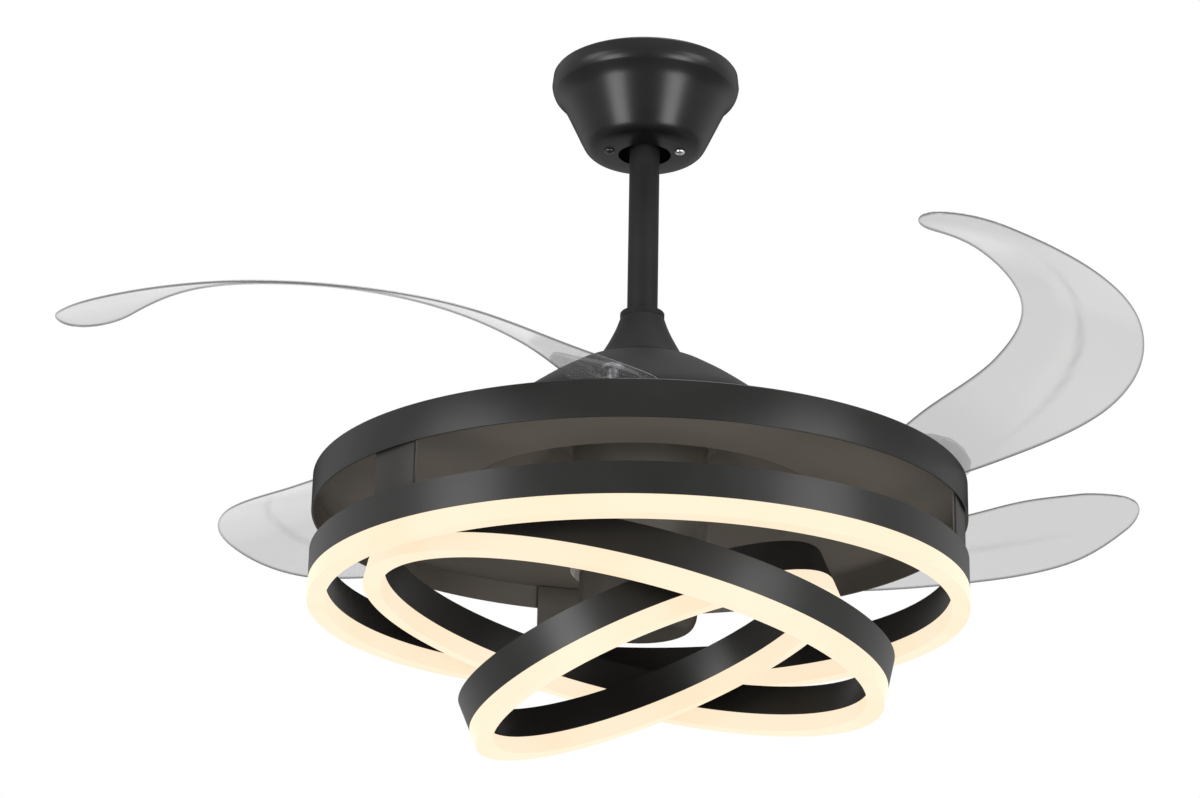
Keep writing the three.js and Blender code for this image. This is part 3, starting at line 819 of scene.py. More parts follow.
class Recipe:
    """A Geometry Nodes tree in the making, with named inputs for its sizes."""

    def __init__(self, name: str, sizes: dict[str, float | int]) -> None:
        """Starts a tree.

        Args:
            name: The tree's name.
            sizes: Each named input and its usual value; a whole number makes a whole-number input.
        """
        self.tree = bpy.data.node_groups.new(name, "GeometryNodeTree")
        face = self.tree.interface
        face.new_socket("Geometry", in_out="INPUT", socket_type="NodeSocketGeometry")
        self.sockets: dict[str, str] = {}
        for label, value in sizes.items():
            kind = "NodeSocketInt" if isinstance(value, int) else "NodeSocketFloat"
            made = face.new_socket(label, in_out="INPUT", socket_type=kind)
            made.default_value = value
            self.sockets[label] = made.identifier
        face.new_socket("Geometry", in_out="OUTPUT", socket_type="NodeSocketGeometry")
        self.given = self.tree.nodes.new("NodeGroupInput")
        self.result = self.tree.nodes.new("NodeGroupOutput")

    def size(self, label: str) -> bpy.types.NodeSocket:
        """Reads a named input."""
        return self.given.outputs[label]

    def node(
        self, kind: str, settings: dict[str, Any] | None = None,
        inputs: dict[int | str, Any] | None = None, output: int | str = 0,
    ) -> bpy.types.NodeSocket:
        """Adds a node.

        Args:
            kind: The node's type.
            settings: Its own settings.
            inputs: A value, a link or a list of links for each socket.
            output: The socket that is handed back.

        Returns:
            The chosen output.
        """
        made = self.tree.nodes.new(kind)
        for key, value in (settings or {}).items():
            setattr(made, key, value)
        for key, value in (inputs or {}).items():
            for one in value if isinstance(value, list) else [value]:
                if isinstance(one, bpy.types.NodeSocket):
                    self.tree.links.new(one, made.inputs[key])
                else:
                    made.inputs[key].default_value = one
        return made.outputs[output]

    def maths(self, kind: str, first: Any, second: Any = 0.0) -> bpy.types.NodeSocket:
        """Adds one Math node."""
        return self.node("ShaderNodeMath", {"operation": kind}, {0: first, 1: second})

    def join(self, *parts: bpy.types.NodeSocket) -> bpy.types.NodeSocket:
        """Joins shapes."""
        return self.node("GeometryNodeJoinGeometry", None, {0: list(parts)})

    def vector(self, parts: dict[int, Any]) -> bpy.types.NodeSocket:
        """Makes a vector; parts that aren't given are 0."""
        return self.node("ShaderNodeCombineXYZ", None, parts)

    def moved(self, shape: Any, by: Any, how: str = "Translation") -> bpy.types.NodeSocket:
        """Shifts or scales a shape.

        Args:
            shape: The shape.
            by: The shift or the scale.
            how: Which of the two, as the node names it.

        Returns:
            The moved shape.
        """
        return self.node("GeometryNodeTransform", None, {"Geometry": shape, how: by})

    def circle(self, radius: Any, facets: Any) -> bpy.types.NodeSocket:
        """Draws a circle of a radius with some facets."""
        inputs = {"Resolution": facets, "Radius": radius}
        return self.node("GeometryNodeCurvePrimitiveCircle", {"mode": "RADIUS"}, inputs)

    def drum(self, radius: Any, depth: Any, middle: Any, sides: int) -> bpy.types.NodeSocket:
        """Makes an upright cylinder.

        Args:
            radius: Its radius.
            depth: Its height.
            middle: How high its middle is.
            sides: Its facets.

        Returns:
            The cylinder.
        """
        inputs = {"Vertices": sides, "Radius": radius, "Depth": depth}
        body = self.node("GeometryNodeMeshCylinder", None, inputs)
        return self.moved(body, self.vector({2: middle}))

    def merged(self, *parts: bpy.types.NodeSocket) -> bpy.types.NodeSocket:
        """Melts shapes into one."""
        settings = {"operation": "UNION", "solver": "EXACT"}
        return self.node("GeometryNodeMeshBoolean", settings, {"Mesh 2": list(parts)})

    def without(self, body: Any, tool: Any) -> bpy.types.NodeSocket:
        """Takes a tool's shape out of a body."""
        settings = {"operation": "DIFFERENCE", "solver": "EXACT"}
        return self.node("GeometryNodeMeshBoolean", settings, {"Mesh 1": body, "Mesh 2": tool})

    def planted(self, shape: bpy.types.NodeSocket, material: bpy.types.Material) -> None:
        """Ends the tree in a copy of a shape on each of the host's points."""
        inputs = {"Points": self.size("Geometry"), "Instance": shape}
        copies = self.node("GeometryNodeInstanceOnPoints", None, inputs)
        self.end(self.painted(copies, material))

    def painted(
        self, shape: bpy.types.NodeSocket, material: bpy.types.Material
    ) -> bpy.types.NodeSocket:
        """Realizes a shape's instances and gives it a material."""
        real = self.node("GeometryNodeRealizeInstances", None, {0: shape})
        return self.node("GeometryNodeSetMaterial", None, {"Geometry": real, "Material": material})

    def end(self, shape: bpy.types.NodeSocket) -> None:
        """Hands the shape out of the tree."""
        self.tree.links.new(shape, self.result.inputs[0])

    def make(
        self, name: str, host: tuple[Sequence[Sequence[float]], Sequence[Sequence[int]]],
        sizes: dict[str, float | int] | None = None, place: Matrix | None = None,
        degrees: float = BEND,
    ) -> bpy.types.Object:
        """Runs the tree on a host's points and edges and keeps the plain mesh.

        Args:
            name: The piece's name.
            host: Points in millimetres and the edges between them.
            sizes: Values of the named inputs, lengths in metres.
            place: A turn and shift in millimetres, put into the result.
            degrees: The sharp-edge limit of the result.

        Returns:
            The piece, without a modifier.
        """
        mesh = bpy.data.meshes.new(name)
        mesh.from_pydata([Vector(p) * MM for p in host[0]], host[1], [])
        piece = bpy.data.objects.new(name, mesh)
        bpy.context.scene.collection.objects.link(piece)
        run = piece.modifiers.new("shape", "NODES")
        run.node_group = self.tree
        for label, value in (sizes or {}).items():
            run[self.sockets[label]] = value
        baked(piece, degrees)
        if place is not None:
            shift = place.copy()
            shift.translation = shift.translation * MM
            piece.data.transform(shift)
        return piece


def swept_ring(material: bpy.types.Material) -> Recipe:
    """Writes the tree that carries an outline round a circle.

    Args:
        material: The finish of the result.

    Returns:
        The tree; its host is the outline, X outwards and Y upwards.
    """
    ring = Recipe("swept_ring", {"Radius": 0.1, "Facets": 160})
    circle = ring.circle(ring.size("Radius"), ring.size("Facets"))
    outline = ring.node("GeometryNodeMeshToCurve", None, {0: ring.size("Geometry")})
    swept = ring.node("GeometryNodeCurveToMesh", None, {0: circle, 1: outline})
    ring.end(ring.painted(swept, material))
    return ring


def lamp_strip(board: bpy.types.Material, lamp: bpy.types.Material) -> Recipe:
    """Writes the tree of a lamp strip: a flat band with a lamp every few millimetres under it.

    Args:
        board: The band's finish.
        lamp: The lamps' finish.

    Returns:
        The tree; its host is empty.
    """
    strip = Recipe("lamp_strip", {"Radius": 0.1, "Width": 0.006, "Thick": 0.0012, "Lamps": 60})
    circle = strip.circle(strip.size("Radius"), 128)
    band = strip.node(
        "GeometryNodeCurvePrimitiveQuadrilateral", {"mode": "RECTANGLE"},
        {"Width": strip.size("Width"), "Height": strip.size("Thick")},
    )
    base = strip.node("GeometryNodeCurveToMesh", None, {0: circle, 1: band})
    spots = strip.node(
        "GeometryNodeCurveToPoints", {"mode": "COUNT"}, {0: circle, "Count": strip.size("Lamps")}
    )
    turn = strip.tree.nodes[-1].outputs["Rotation"]
    chip = strip.node("GeometryNodeMeshCube", None, {"Size": (0.0028, 0.0006, 0.0035)})
    chips = strip.node(
        "GeometryNodeInstanceOnPoints", None, {"Points": spots, "Instance": chip, "Rotation": turn}
    )
    lower = strip.maths("MULTIPLY", strip.size("Thick"), -0.5)
    hung = strip.moved(chips, strip.vector({2: strip.maths("ADD", lower, -0.0004)}))
    strip.end(strip.join(strip.painted(base, board), strip.painted(hung, lamp)))
    return strip


def bolt_set(material: bpy.types.Material) -> Recipe:
    """Writes the tree of bolts with a hexagon socket in the head.

    Args:
        material: Their finish.

    Returns:
        The tree; its host's points are the bolts' lower ends.
    """
    bolt = Recipe("bolt_set", {"Pin": 0.004, "Length": 0.03, "Head": 0.008, "Tall": 0.0024})
    length, tall = bolt.size("Length"), bolt.size("Tall")
    pin = bolt.drum(bolt.size("Pin"), length, bolt.maths("MULTIPLY", length, 0.5), 32)
    half = bolt.maths("MULTIPLY", tall, 0.5)
    head = bolt.drum(bolt.size("Head"), tall, bolt.maths("SUBTRACT", length, half), 40)
    key = bolt.drum(bolt.maths("MULTIPLY", bolt.size("Head"), 0.52), 0.004, length, 6)
    bolt.planted(bolt.without(bolt.merged(pin, head), key), material)
    return bolt


def spring_set(material: bpy.types.Material) -> Recipe:
    """Writes the tree of coil springs.

    Args:
        material: Their finish.

    Returns:
        The tree; its host's points are the coils' lower middles.
    """
    coil = Recipe("spring_set", {"Coil": 0.0132, "Wire": 0.00095, "Tall": 0.0039, "Turns": 1.5})
    line = coil.node(
        "GeometryNodeCurveSpiral", None,
        {"Resolution": 40, "Rotations": coil.size("Turns"), "Start Radius": coil.size("Coil"),
         "End Radius": coil.size("Coil"), "Height": coil.size("Tall")},
    )
    wire = coil.circle(coil.size("Wire"), 10)
    body = coil.node("GeometryNodeCurveToMesh", None, {0: line, 1: wire, "Fill Caps": True})
    coil.planted(body, material)
    return coil


def cross_screws(material: bpy.types.Material) -> Recipe:
    """Writes the tree of pan-head screws with a cross cut in the head, which looks down.

    Args:
        material: Their finish.

    Returns:
        The tree; its host's points are the heads' undersides.
    """
    screw = Recipe("cross_screws", {"Shank": 0.0016, "Length": 0.0253, "Head": 0.004, "Tall": 0.0022})
    tall = screw.size("Tall")
    head = screw.node("GeometryNodeMeshUVSphere", None, {"Segments": 32, "Rings": 16, "Radius": 1.0})
    flat = screw.vector({0: screw.size("Head"), 1: screw.size("Head"), 2: tall})
    slab = screw.node("GeometryNodeMeshCube", None, {"Size": (0.02, 0.02, 0.01)})
    above = screw.moved(slab, (0.0, 0.0, 0.005))
    low_dome = screw.without(screw.moved(head, flat, "Scale"), above)
    bars = [
        screw.node("GeometryNodeMeshCube", None, {"Size": size})
        for size in ((0.0042, 0.0007, 0.0026), (0.0007, 0.0042, 0.0026))
    ]
    sunk = screw.vector({2: screw.maths("MULTIPLY", tall, -1.0)})
    headed = screw.without(low_dome, screw.moved(screw.merged(*bars), sunk))
    length = screw.size("Length")
    shank = screw.drum(screw.size("Shank"), length, screw.maths("MULTIPLY", length, 0.49), 24)
    screw.planted(screw.merged(headed, shank), material)
    return screw


# ---------------------------------------------------------------- sub-assemblies


@dataclass
class Assembly:
    """What every sub-assembly shares: the finishes, and how a piece is settled."""

    paints: Paints

    def settle(
        self, piece: bpy.types.Object, body: str, slot: Slot, finish: str | None, *nodes: str
    ) -> bpy.types.Object:
        """Gives a piece its finish, its body and the nodes it stands for.

        Args:
            piece: The finished mesh.
            body: The CAD body it moves with.
            slot: The record's material slot; not used.
            finish: The finish's name, or None where the piece has its own.
            *nodes: The CAD nodes it stands for.

        Returns:
            The piece.
        """
        if finish is not None:
            piece.data.materials.clear()
            piece.data.materials.append(self.paints[finish])
        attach(piece, body)
        if nodes:
            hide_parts(*nodes)
        LOG.info("%s: %d faces on %s", piece.name, len(piece.data.polygons), body)
        return piece

    def spun(
        self, name: str, outline: Sequence[Point], facets: int, degrees: float, *how: Any
    ) -> bpy.types.Object:
        """Turns an outline and settles the piece.

        Args:
            name: The piece's name.
            outline: Its closed outline.
            facets: Facets round it.
            degrees: The sharp-edge limit.
            *how: Its body, slot, finish and node.

        Returns:
            The piece.
        """
        return self.settle(lathe(name, outline, facets, degrees=degrees), *how)

    def soften(self, name: str, node: str, width: float, *how: Any, degrees: float = 28.0) -> None:
        """Breaks the edges of a CAD node and settles the result in its place.

        Args:
            name: The piece's name.
            node: The CAD node.
            width: The edge's width in millimetres.
            *how: Its body, slot and finish.
            degrees: Edges that bend more than this are broken.
        """
        self.settle(softened(name, node, width, degrees), *how, node)

    def dress(self, finish: str, *nodes: str) -> None:
        """Gives CAD nodes a finish.

        Args:
            finish: The finish's name.
            *nodes: The nodes.
        """
        for name in nodes:
            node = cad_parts[name]
            if not node.material_slots:
                node.data.materials.append(self.paints[finish])
            for slot in node.material_slots:
                slot.material = self.paints[finish]
            LOG.info("%s keeps its solid, in %s", name, finish)


@dataclass
class Hanger(Assembly):
    """The bracket on the ceiling, the ball in it, the canopy and the downrod."""

    rim: float = 75.0
    rod: float = 12.0
    bore: float = 9.6
    ball: float = 25.0
    ball_height: float = 316.57
    screws: tuple[float, float] = (28.0, -8.0)

    def canopy(self) -> bpy.types.Object:
        """Builds the spun bell, with its rolled rim and its flat floor."""
        bowl = flowing([(71.0, 330.6), (67.4, 326.4), (64.4, 321.6), (59.6, 311.6), (55.1, 302.0)], 4)
        lower = flowing([(55.1, 302.0), (50.6, 292.4), (47.2, 286.4), (42.4, 282.6), (36.0, 281.0)], 6)
        rim = [(self.rim - 2.0, 349.5), (self.rim - 0.9, 348.2), (self.rim, 339.5)]
        roll = flowing([(self.rim, 339.5), (self.rim - 0.7, 336.0), (73.2, 333.2), (72.2, 331.8)], 5)
        outside = rim + roll[1:] + bowl + lower[1:]
        floor = [(21.0, 281.0), (21.0, 282.6), (36.0, 282.6)]
        inside = flowing([(42.0, 284.4), (49.2, 292.8), (53.4, 302.0), (62.6, 321.0), (73.2, 339.0)])
        outline = outside + floor + inside + [(73.2, 349.5)]
        bell = lathe("canopy_bell", outline, 160, degrees=20.0)
        x, y = self.screws
        carved(bell, pegs("canopy_holes", [(x, y), (-x, y)], 2.4, 276.0, 290.0))
        return bell

    def build(self) -> None:
        """Builds the hanger."""
        self.settle(self.canopy(), "frame", Slot.BLACK, "canopy_satin", "canopy")
        arc = [
            (self.ball * math.cos(math.radians(a)),
             self.ball_height + self.ball * math.sin(math.radians(a)))
            for a in range(-56, 53, 4)
        ]
        ball = [(self.rod + 0.3, arc[0][1]), *arc, (self.rod + 0.3, arc[-1][1])]
        how = ("frame", Slot.BLACK_PLASTIC, "black_moulding", "hanger_ball")
        self.spun("hanger_sphere", eased(ball, 0.8), 72, BEND, *how)
        pipe = [(self.bore, 127.0), (self.rod, 127.0), (self.rod, 338.0), (self.bore, 338.0)]
        how = ("frame", Slot.BLACK, "black_matt", "downrod")
        self.spun("drop_tube", eased(pipe, 0.5, 2), 72, BEND, *how)
        # Painted shade: the bracket is zinc plate; its near-black finish stands in for the shade inside
        # the canopy.
        self.soften("ceiling_bracket", "hanger_bracket", 0.45, "frame", Slot.ZINC, "black_zinc")
        self.dress("turned_steel", "ball_pin")
        x, y = self.screws
        # Painted shade: the two like screws get a dark finish on the left and a bright one on the right.
        for side, finish, node in ((-x, "shaded_steel", "left"), (x, "turned_steel", "right")):
            tree = cross_screws(self.paints[finish])
            screw = tree.make(f"canopy_screw_{node}_made", ([(side, y, up(SCREW_FOOT))], []))
            self.settle(screw, "frame", Slot.STEEL, None, f"canopy_screw_{node}")


@dataclass
class Coupling(Assembly):
    """The yoke that joins the rod to the shaft, and the flared cover over it."""

    lip: float = 17.4
    foot: float = 45.0

    def build(self) -> None:
        """Builds the coupling."""
        flare = flowing(
            [(self.lip - 0.4, 140.6), (18.2, 137.6), (20.0, 132.4), (23.2, 125.0), (28.2, 115.3),
             (32.6, 108.0), (36.4, 103.6), (40.0, 101.6), (self.foot, 100.9)], 6,
        )
        neck = [(14.6, 145.5), (self.lip - 0.6, 145.4), (self.lip, 144.6), (self.lip, 141.4)]
        inside = [
            (self.foot, 100.4), (40.0, 100.4), (35.2, 102.6), (31.2, 106.8), (26.8, 114.0),
            (21.8, 123.6), (16.2, 138.0), (12.5, 142.0), (12.5, 145.5),
        ]
        how = ("frame", Slot.BLACK, "black_matt", "coupling_cover")
        self.spun("coupling_bell", neck + flare + inside, 96, 24.0, *how)
        self.soften("coupling_yoke", "yoke", 0.4, "frame", Slot.ZINC, "zinc")
        self.dress("turned_steel", "yoke_pin")


@dataclass
class Motor(Assembly):
    """The motor on the hollow shaft, and the spun cover that turns with it."""

    def build(self) -> None:
        """Builds the motor."""
        self.dress("turned_steel", "motor_shaft", "bearing_lower", "bearing_upper")
        self.dress("iron_stack", "stator_core")
        self.dress("wound_copper", "windings")
        self.dress("ferrite", "magnet_ring")
        can = [
            (12.5, 89.4), (12.5, 87.3), (17.5, 87.3), (17.5, 77.0), (22.0, 77.0), (22.0, 79.2),
            (69.3, 79.2), (69.3, 47.9), (76.0, 47.9), (76.0, 50.4), (72.5, 50.4), (72.5, 81.5),
            (22.0, 81.5), (22.0, 89.4),
        ]
        metal = ("rotor", Slot.ZINC, "zinc")
        self.spun("rotor_drum", eased(can, 0.7), 96, BEND, *metal, "rotor_can")
        floor = [
            (12.5, 44.6), (78.0, 44.6), (78.0, 47.6), (22.0, 47.6), (22.0, 57.4), (17.5, 57.4),
            (17.5, 47.3), (12.5, 47.3),
        ]
        self.spun("rotor_plate", eased(floor, 0.6), 96, BEND, *metal, "rotor_floor")
        crown = flowing(
            [(46.0, 99.2), (52.0, 97.6), (60.0, 93.0), (74.0, 84.2), (88.0, 74.2), (98.0, 66.6),
             (104.6, 60.6), (109.0, 53.6), (111.2, 45.2), (111.5, 40.0)], 4,
        )
        inside = [
            (111.5, 30.6), (111.0, 30.0), (110.0, 30.0), (109.4, 49.0), (99.8, 62.8), (66.2, 87.1),
            (66.2, 81.8), (63.6, 81.8), (45.4, 97.6), (14.0, 97.6), (14.0, 99.2),
        ]
        how = ("rotor", Slot.BLACK, "black_matt", "rotor_cover")
        self.spun("rotor_dome", crown + inside, 144, 26.0, *how)


@dataclass
class BladeDeck(Assembly):
    """The turning deck with the hinge bolts, springs, arms and the toothed ring that joins them."""

    edge: float = 237.0
    lip: float = 165.03
    vents: float = 151.5
    bolt: float = 4.0

    def hinges(self) -> list[Point]:
        """Lists the four hinge pins in plan."""
        radius = math.hypot(*HINGE)
        angle = math.degrees(math.atan2(HINGE[1], HINGE[0]))
        return [polar(radius, angle + 90.0 * k) for k in range(BLADES)]

    def build(self) -> None:
        """Builds the deck."""
        outline = [
            (66.0, 44.3), (66.0, 41.6), (79.5, 41.6), (139.0, -5.0), (self.edge, -5.0),
            (self.edge, -2.5), (self.lip, -2.5), (self.lip, 2.6), (self.lip - 2.0, 2.6),
            (self.lip - 2.0, -2.5), (140.0, -2.5), (81.0, 44.3),
        ]
        deck = lathe("spun_deck", eased(outline, 0.8, 3), 180, degrees=26.0)
        vents = [polar(self.vents, 90.0 * k + 40.0) for k in range(BLADES)]
        carved(deck, pegs("vent_holes", vents, 7.0, -8.0, 0.0))
        carved(deck, pegs("hinge_holes", self.hinges(), self.bolt + 0.3, -8.0, 2.0))
        self.settle(deck, "rotor", Slot.CHARCOAL, "charcoal_satin", "blade_deck")
        spots = [(x, y, up(-6.6)) for x, y in self.hinges()]
        sizes = {"Pin": self.bolt * MM, "Length": 29.6 * MM, "Head": 8.0 * MM, "Tall": 2.4 * MM}
        bolts = bolt_set(self.paints["dull_steel"]).make("hinge_bolts", (spots, []), sizes)
        numbers = range(1, BLADES + 1)
        nodes = [f"hinge_bolt_{k}" for k in numbers]
        self.settle(bolts, "rotor", Slot.STEEL, None, *nodes)
        coils = [(x, y, up(4.3)) for x, y in self.hinges()]
        springs = spring_set(self.paints["turned_steel"]).make("hinge_springs", (coils, []))
        nodes = [f"hinge_spring_{k}" for k in numbers]
        self.settle(springs, "rotor", Slot.STEEL, None, *nodes)
        self.dress("white_moulding", "sync_ring")
        for k in numbers:
            how = (f"wing_{k}", Slot.BLACK_PLASTIC, "clear_grey")
            self.soften(f"arm_{k}_moulding", f"blade_arm_{k}", 0.25, *how, degrees=40.0)


@dataclass
class Blades(Assembly):
    """The four clear crescent blades, each an arc whose two edges climb towards the tip."""

    start: Point = (183.2, 9.0)
    arc: float = 258.6
    turn: tuple[float, float] = (55.6, -54.2)
    outer_w: tuple[float, ...] = (24.0, 25.9, 50.0, 56.1, 49.3, 17.8)
    inner_w: tuple[float, ...] = (46.0, 46.7, 35.1, 27.6, 35.3, 35.0)
    outer_z: tuple[float, ...] = (11.4, 13.2, 21.0, 29.0, 35.7, 54.2)
    inner_z: tuple[float, ...] = (14.2, 39.7, 52.7, 60.7, 69.1, 62.0)
    ends: Point = (0.07, 0.075)
    thick: float = 2.4
    rows: int = 150
    cols: int = 36
    bore: float = 4.4
    crease: float = 0.16
    trim: float = 0.4

    @staticmethod
    def _along(values: Sequence[float], s: float) -> float:
        """Reads a smooth line through evenly spaced values.

        Args:
            values: The values.
            s: The place, from 0 to 1.

        Returns:
            The value there.
        """
        last = len(values) - 1
        t = min(max(s, 0.0), 1.0) * last
        i = min(int(t), last - 1)
        f = t - i
        p = [values[min(max(i + k, 0), last)] for k in (-1, 0, 1, 2)]
        bend = 2 * p[0] - 5 * p[1] + 4 * p[2] - p[3]
        twist = 3 * (p[1] - p[2]) + p[3] - p[0]
        return 0.5 * (2 * p[1] + (p[2] - p[0]) * f + bend * f * f + twist * f**3)

    def _share(self, s: float) -> float:
        """Tells how much of the width is left at a place, for the two rounded ends."""
        root, tip = self.ends
        near = math.sqrt(max(0.0, 1.0 - max(0.0, (root - s) / root) ** 2))
        far = math.sqrt(max(0.0, 1.0 - max(0.0, (s - 1.0 + tip) / tip) ** 2))
        return max(0.02, near * far)

    def _across(self, s: float, c: float, trim: float) -> tuple[float, float, float]:
        """Gives the two half widths at a place, and how far out of the arc the point is.

        Args:
            s: The place along the blade.
            c: The place across it.
            trim: What the outer half width is cut back by.

        Returns:
            The outer and the inner half width and the point's distance from the arc.
        """
        wo, wi = self._along(self.outer_w, s) - trim, self._along(self.inner_w, s)
        return wo, wi, (wo - wi) / 2.0 + (wo + wi) / 2.0 * self._share(s) * c

    def _point(self, s: float, c: float) -> Vector:
        """Gives a point of the blade's middle surface.

        Args:
            s: The place along the blade, from hinge to tip.
            c: The place across it, from the inner edge, -1, to the outer one, 1.

        Returns:
            The point, in millimetres.
        """
        wo, wi, off = self._across(s, c, self.trim)
        share = (off + wi) / (wo + wi)
        low, high = self._along(self.inner_z, s), self._along(self.outer_z, s)
        window = min(1.0, max(0.0, (s - 0.24) / 0.16)) * min(1.0, max(0.0, (0.9 - s) / 0.2))
        step = 1.0 / (1.0 + math.exp(-(off / (wo + wi) - self.crease) * 60.0))
        z = low + (high - low) * share - 0.9 * window * (step - 0.5) * (1.0 - abs(2.0 * share - 1.0))
        middle = [a - b for a, b in zip(self.start, polar(self.arc, self.turn[0]))]
        x, y = polar(self.arc + off, self.turn[0] + (self.turn[1] - self.turn[0]) * s)
        return Vector((middle[0] + x, middle[1] + y, up(z)))

    def _stations(self) -> list[float]:
        """Places the rows, closer together at the two rounded ends."""
        return [0.5 - 0.5 * math.cos(math.pi * k / self.rows) for k in range(self.rows + 1)]

    def sheet(self) -> tuple[list[Vector], list[list[int]], list[float], list[float]]:
        """Lays out one blade with a rounded rim.

        Returns:
            Its points, its faces, and for each point how near the rim and the crease it is.
        """
        points: list[Vector] = []
        rims: list[float] = []
        folds: list[float] = []
        loop = 2 * self.cols
        for s in self._stations():
            width = (self._along(self.outer_w, s) + self._along(self.inner_w, s)) * self._share(s)
            for k in range(loop):
                side = 1.0 if k < self.cols else -1.0
                c = math.cos(math.pi * (k + 0.5) / self.cols)
                inset = (1.0 - abs(c)) * width / 2.0
                end = min(s, 1.0 - s) * self.arc * math.radians(110.0)
                near = min(inset, end + 0.4)
                lift = self.thick / 2.0 * math.sqrt(min(1.0, max(0.02, near / 1.2)))
                points.append(self._point(s, c) + Vector((0.0, 0.0, side * lift)))
                rims.append(max(0.0, 1.0 - near / 1.6))
                wo, wi, off = self._across(s, c, 0.0)
                window = min(1.0, max(0.0, (s - 0.2) / 0.2)) * min(1.0, max(0.0, (0.86 - s) / 0.2))
                gap = abs(off / (wo + wi) - self.crease) * (wo + wi)
                folds.append(window * math.exp(-((gap / 2.2) ** 2)))
        faces: list[list[int]] = []
        for i in range(self.rows):
            for k in range(loop):
                n = (k + 1) % loop
                a, b = i * loop, (i + 1) * loop
                faces.append([a + k, b + k, b + n, a + n])
        faces.append(list(range(loop)))
        faces.append([self.rows * loop + k for k in reversed(range(loop))])
        return points, faces, rims, folds

    def build(self) -> None:
        """Builds the blades."""
        points, faces, rims, folds = self.sheet()
        for k in range(BLADES):
            turn = Matrix.Rotation(math.radians(90.0 * k), 4, "Z")
            blade = piece_of(f"clear_blade_{k + 1}", points, faces, turn, 60.0)
            for label, values in (("rim", rims), ("crease", folds)):
                mark = blade.data.attributes.new(label, "FLOAT", "POINT")
                mark.data.foreach_set("value", np.array(values, np.float32))
            x, y = (turn @ Vector((*HINGE, 0.0))).xy
            carved(blade, pegs("pin_hole", [(x, y)], self.bore, 0.0, 40.0))
            self.settle(blade, f"wing_{k + 1}", Slot.BLADE, "clear_grey", f"blade_{k + 1}")


@dataclass
class LampBody(Assembly):
    """The round pan, the column under it with its cup, and what is shut inside the column."""

    radius: float = 250.0
    wall: float = 28.4
    roof: float = 8.0
    sheet: float = 1.6
    column: float = 52.0
    cup: float = 45.0

    def build(self) -> None:
        """Builds the lamp body."""
        inner = self.radius - self.sheet
        pan = [
            (self.radius, -self.wall), (self.radius, -0.8), (self.radius - 0.8, 0.0),
            (inner, -0.2), (inner, -self.roof), (141.0, -self.roof), (62.0, 39.6), (8.8, 39.6),
            (8.8, 38.0), (61.0, 38.0), (139.6, -self.roof - self.sheet),
            (inner, -self.roof - self.sheet), (inner, -self.wall),
        ]
        how = ("frame", Slot.CHARCOAL, "pan_satin", "lamp_pan")
        self.spun("lamp_shell", eased(pan, 0.7, 3), 220, 24.0, *how)
        skin = self.column - self.sheet
        drum = [
            (self.column, 34.5), (self.column - 2.5, 37.7), (38.0, 37.7), (38.0, 36.1),
            (skin, 36.1), (skin, -67.0), (self.cup - 1.9, -67.0), (self.cup - 1.9, -68.6),
            (self.column - 3.0, -68.6), (self.column, -65.6),
        ]
        how = ("frame", Slot.CHARCOAL, "column_satin", "column")
        self.spun("centre_drum", eased(drum, 2.2, 4), 112, 24.0, *how)
        wall = self.cup - self.sheet
        bowl = [(self.cup, -68.9)]
        bowl += flowing([(self.cup, -98.0), (self.cup - 1.0, -104.0), (self.cup - 4.5, -109.6),
                         (self.cup - 12.0, -112.6), (20.0, -113.0)], 5)
        bowl += [(0.0, -113.0), (0.0, -111.4), (self.cup - 12.4, -111.4), (wall, -101.0), (wall, -68.9)]
        self.spun("centre_cup", bowl, 96, 24.0, "frame", Slot.BLACK, "cup_satin", "column_cup")
        straps = [
            (f"strap_{k}", f"pan_post_{k}", 0.6, Slot.CHARCOAL, "strap_satin") for k in (1, 2, 3)
        ]
        for name, node, width, slot, finish in (
            ("clamp_nut", "shaft_nut", 0.5, Slot.STEEL, "turned_steel"),
            ("driver_case", "led_driver", 1.0, Slot.WHITE_PLASTIC, "white_moulding"),
            ("control_case", "control_box", 1.0, Slot.BLACK_PLASTIC, "black_moulding"),
            *straps,
        ):
            self.soften(name, node, width, "frame", slot, finish)


@dataclass(frozen=True)
class Hoop:
    """One lit hoop's size and place: z is its lens's underside, tilt is about the Y axis."""

    letter: str
    radius: float
    x: float
    z: float
    tilt: float

    def matrix(self, metal: float, lens: float) -> Matrix:
        """Gives the place of the top of its channel, in millimetres below the ceiling."""
        if not self.tilt:
            return Matrix.Translation((0.0, 0.0, up(self.z)))
        turn = Matrix.Rotation(math.radians(self.tilt), 4, "Y")
        lift = Matrix.Translation((0.0, 0.0, metal + lens))
        return Matrix.Translation((self.x, 0.0, up(self.z))) @ turn @ lift


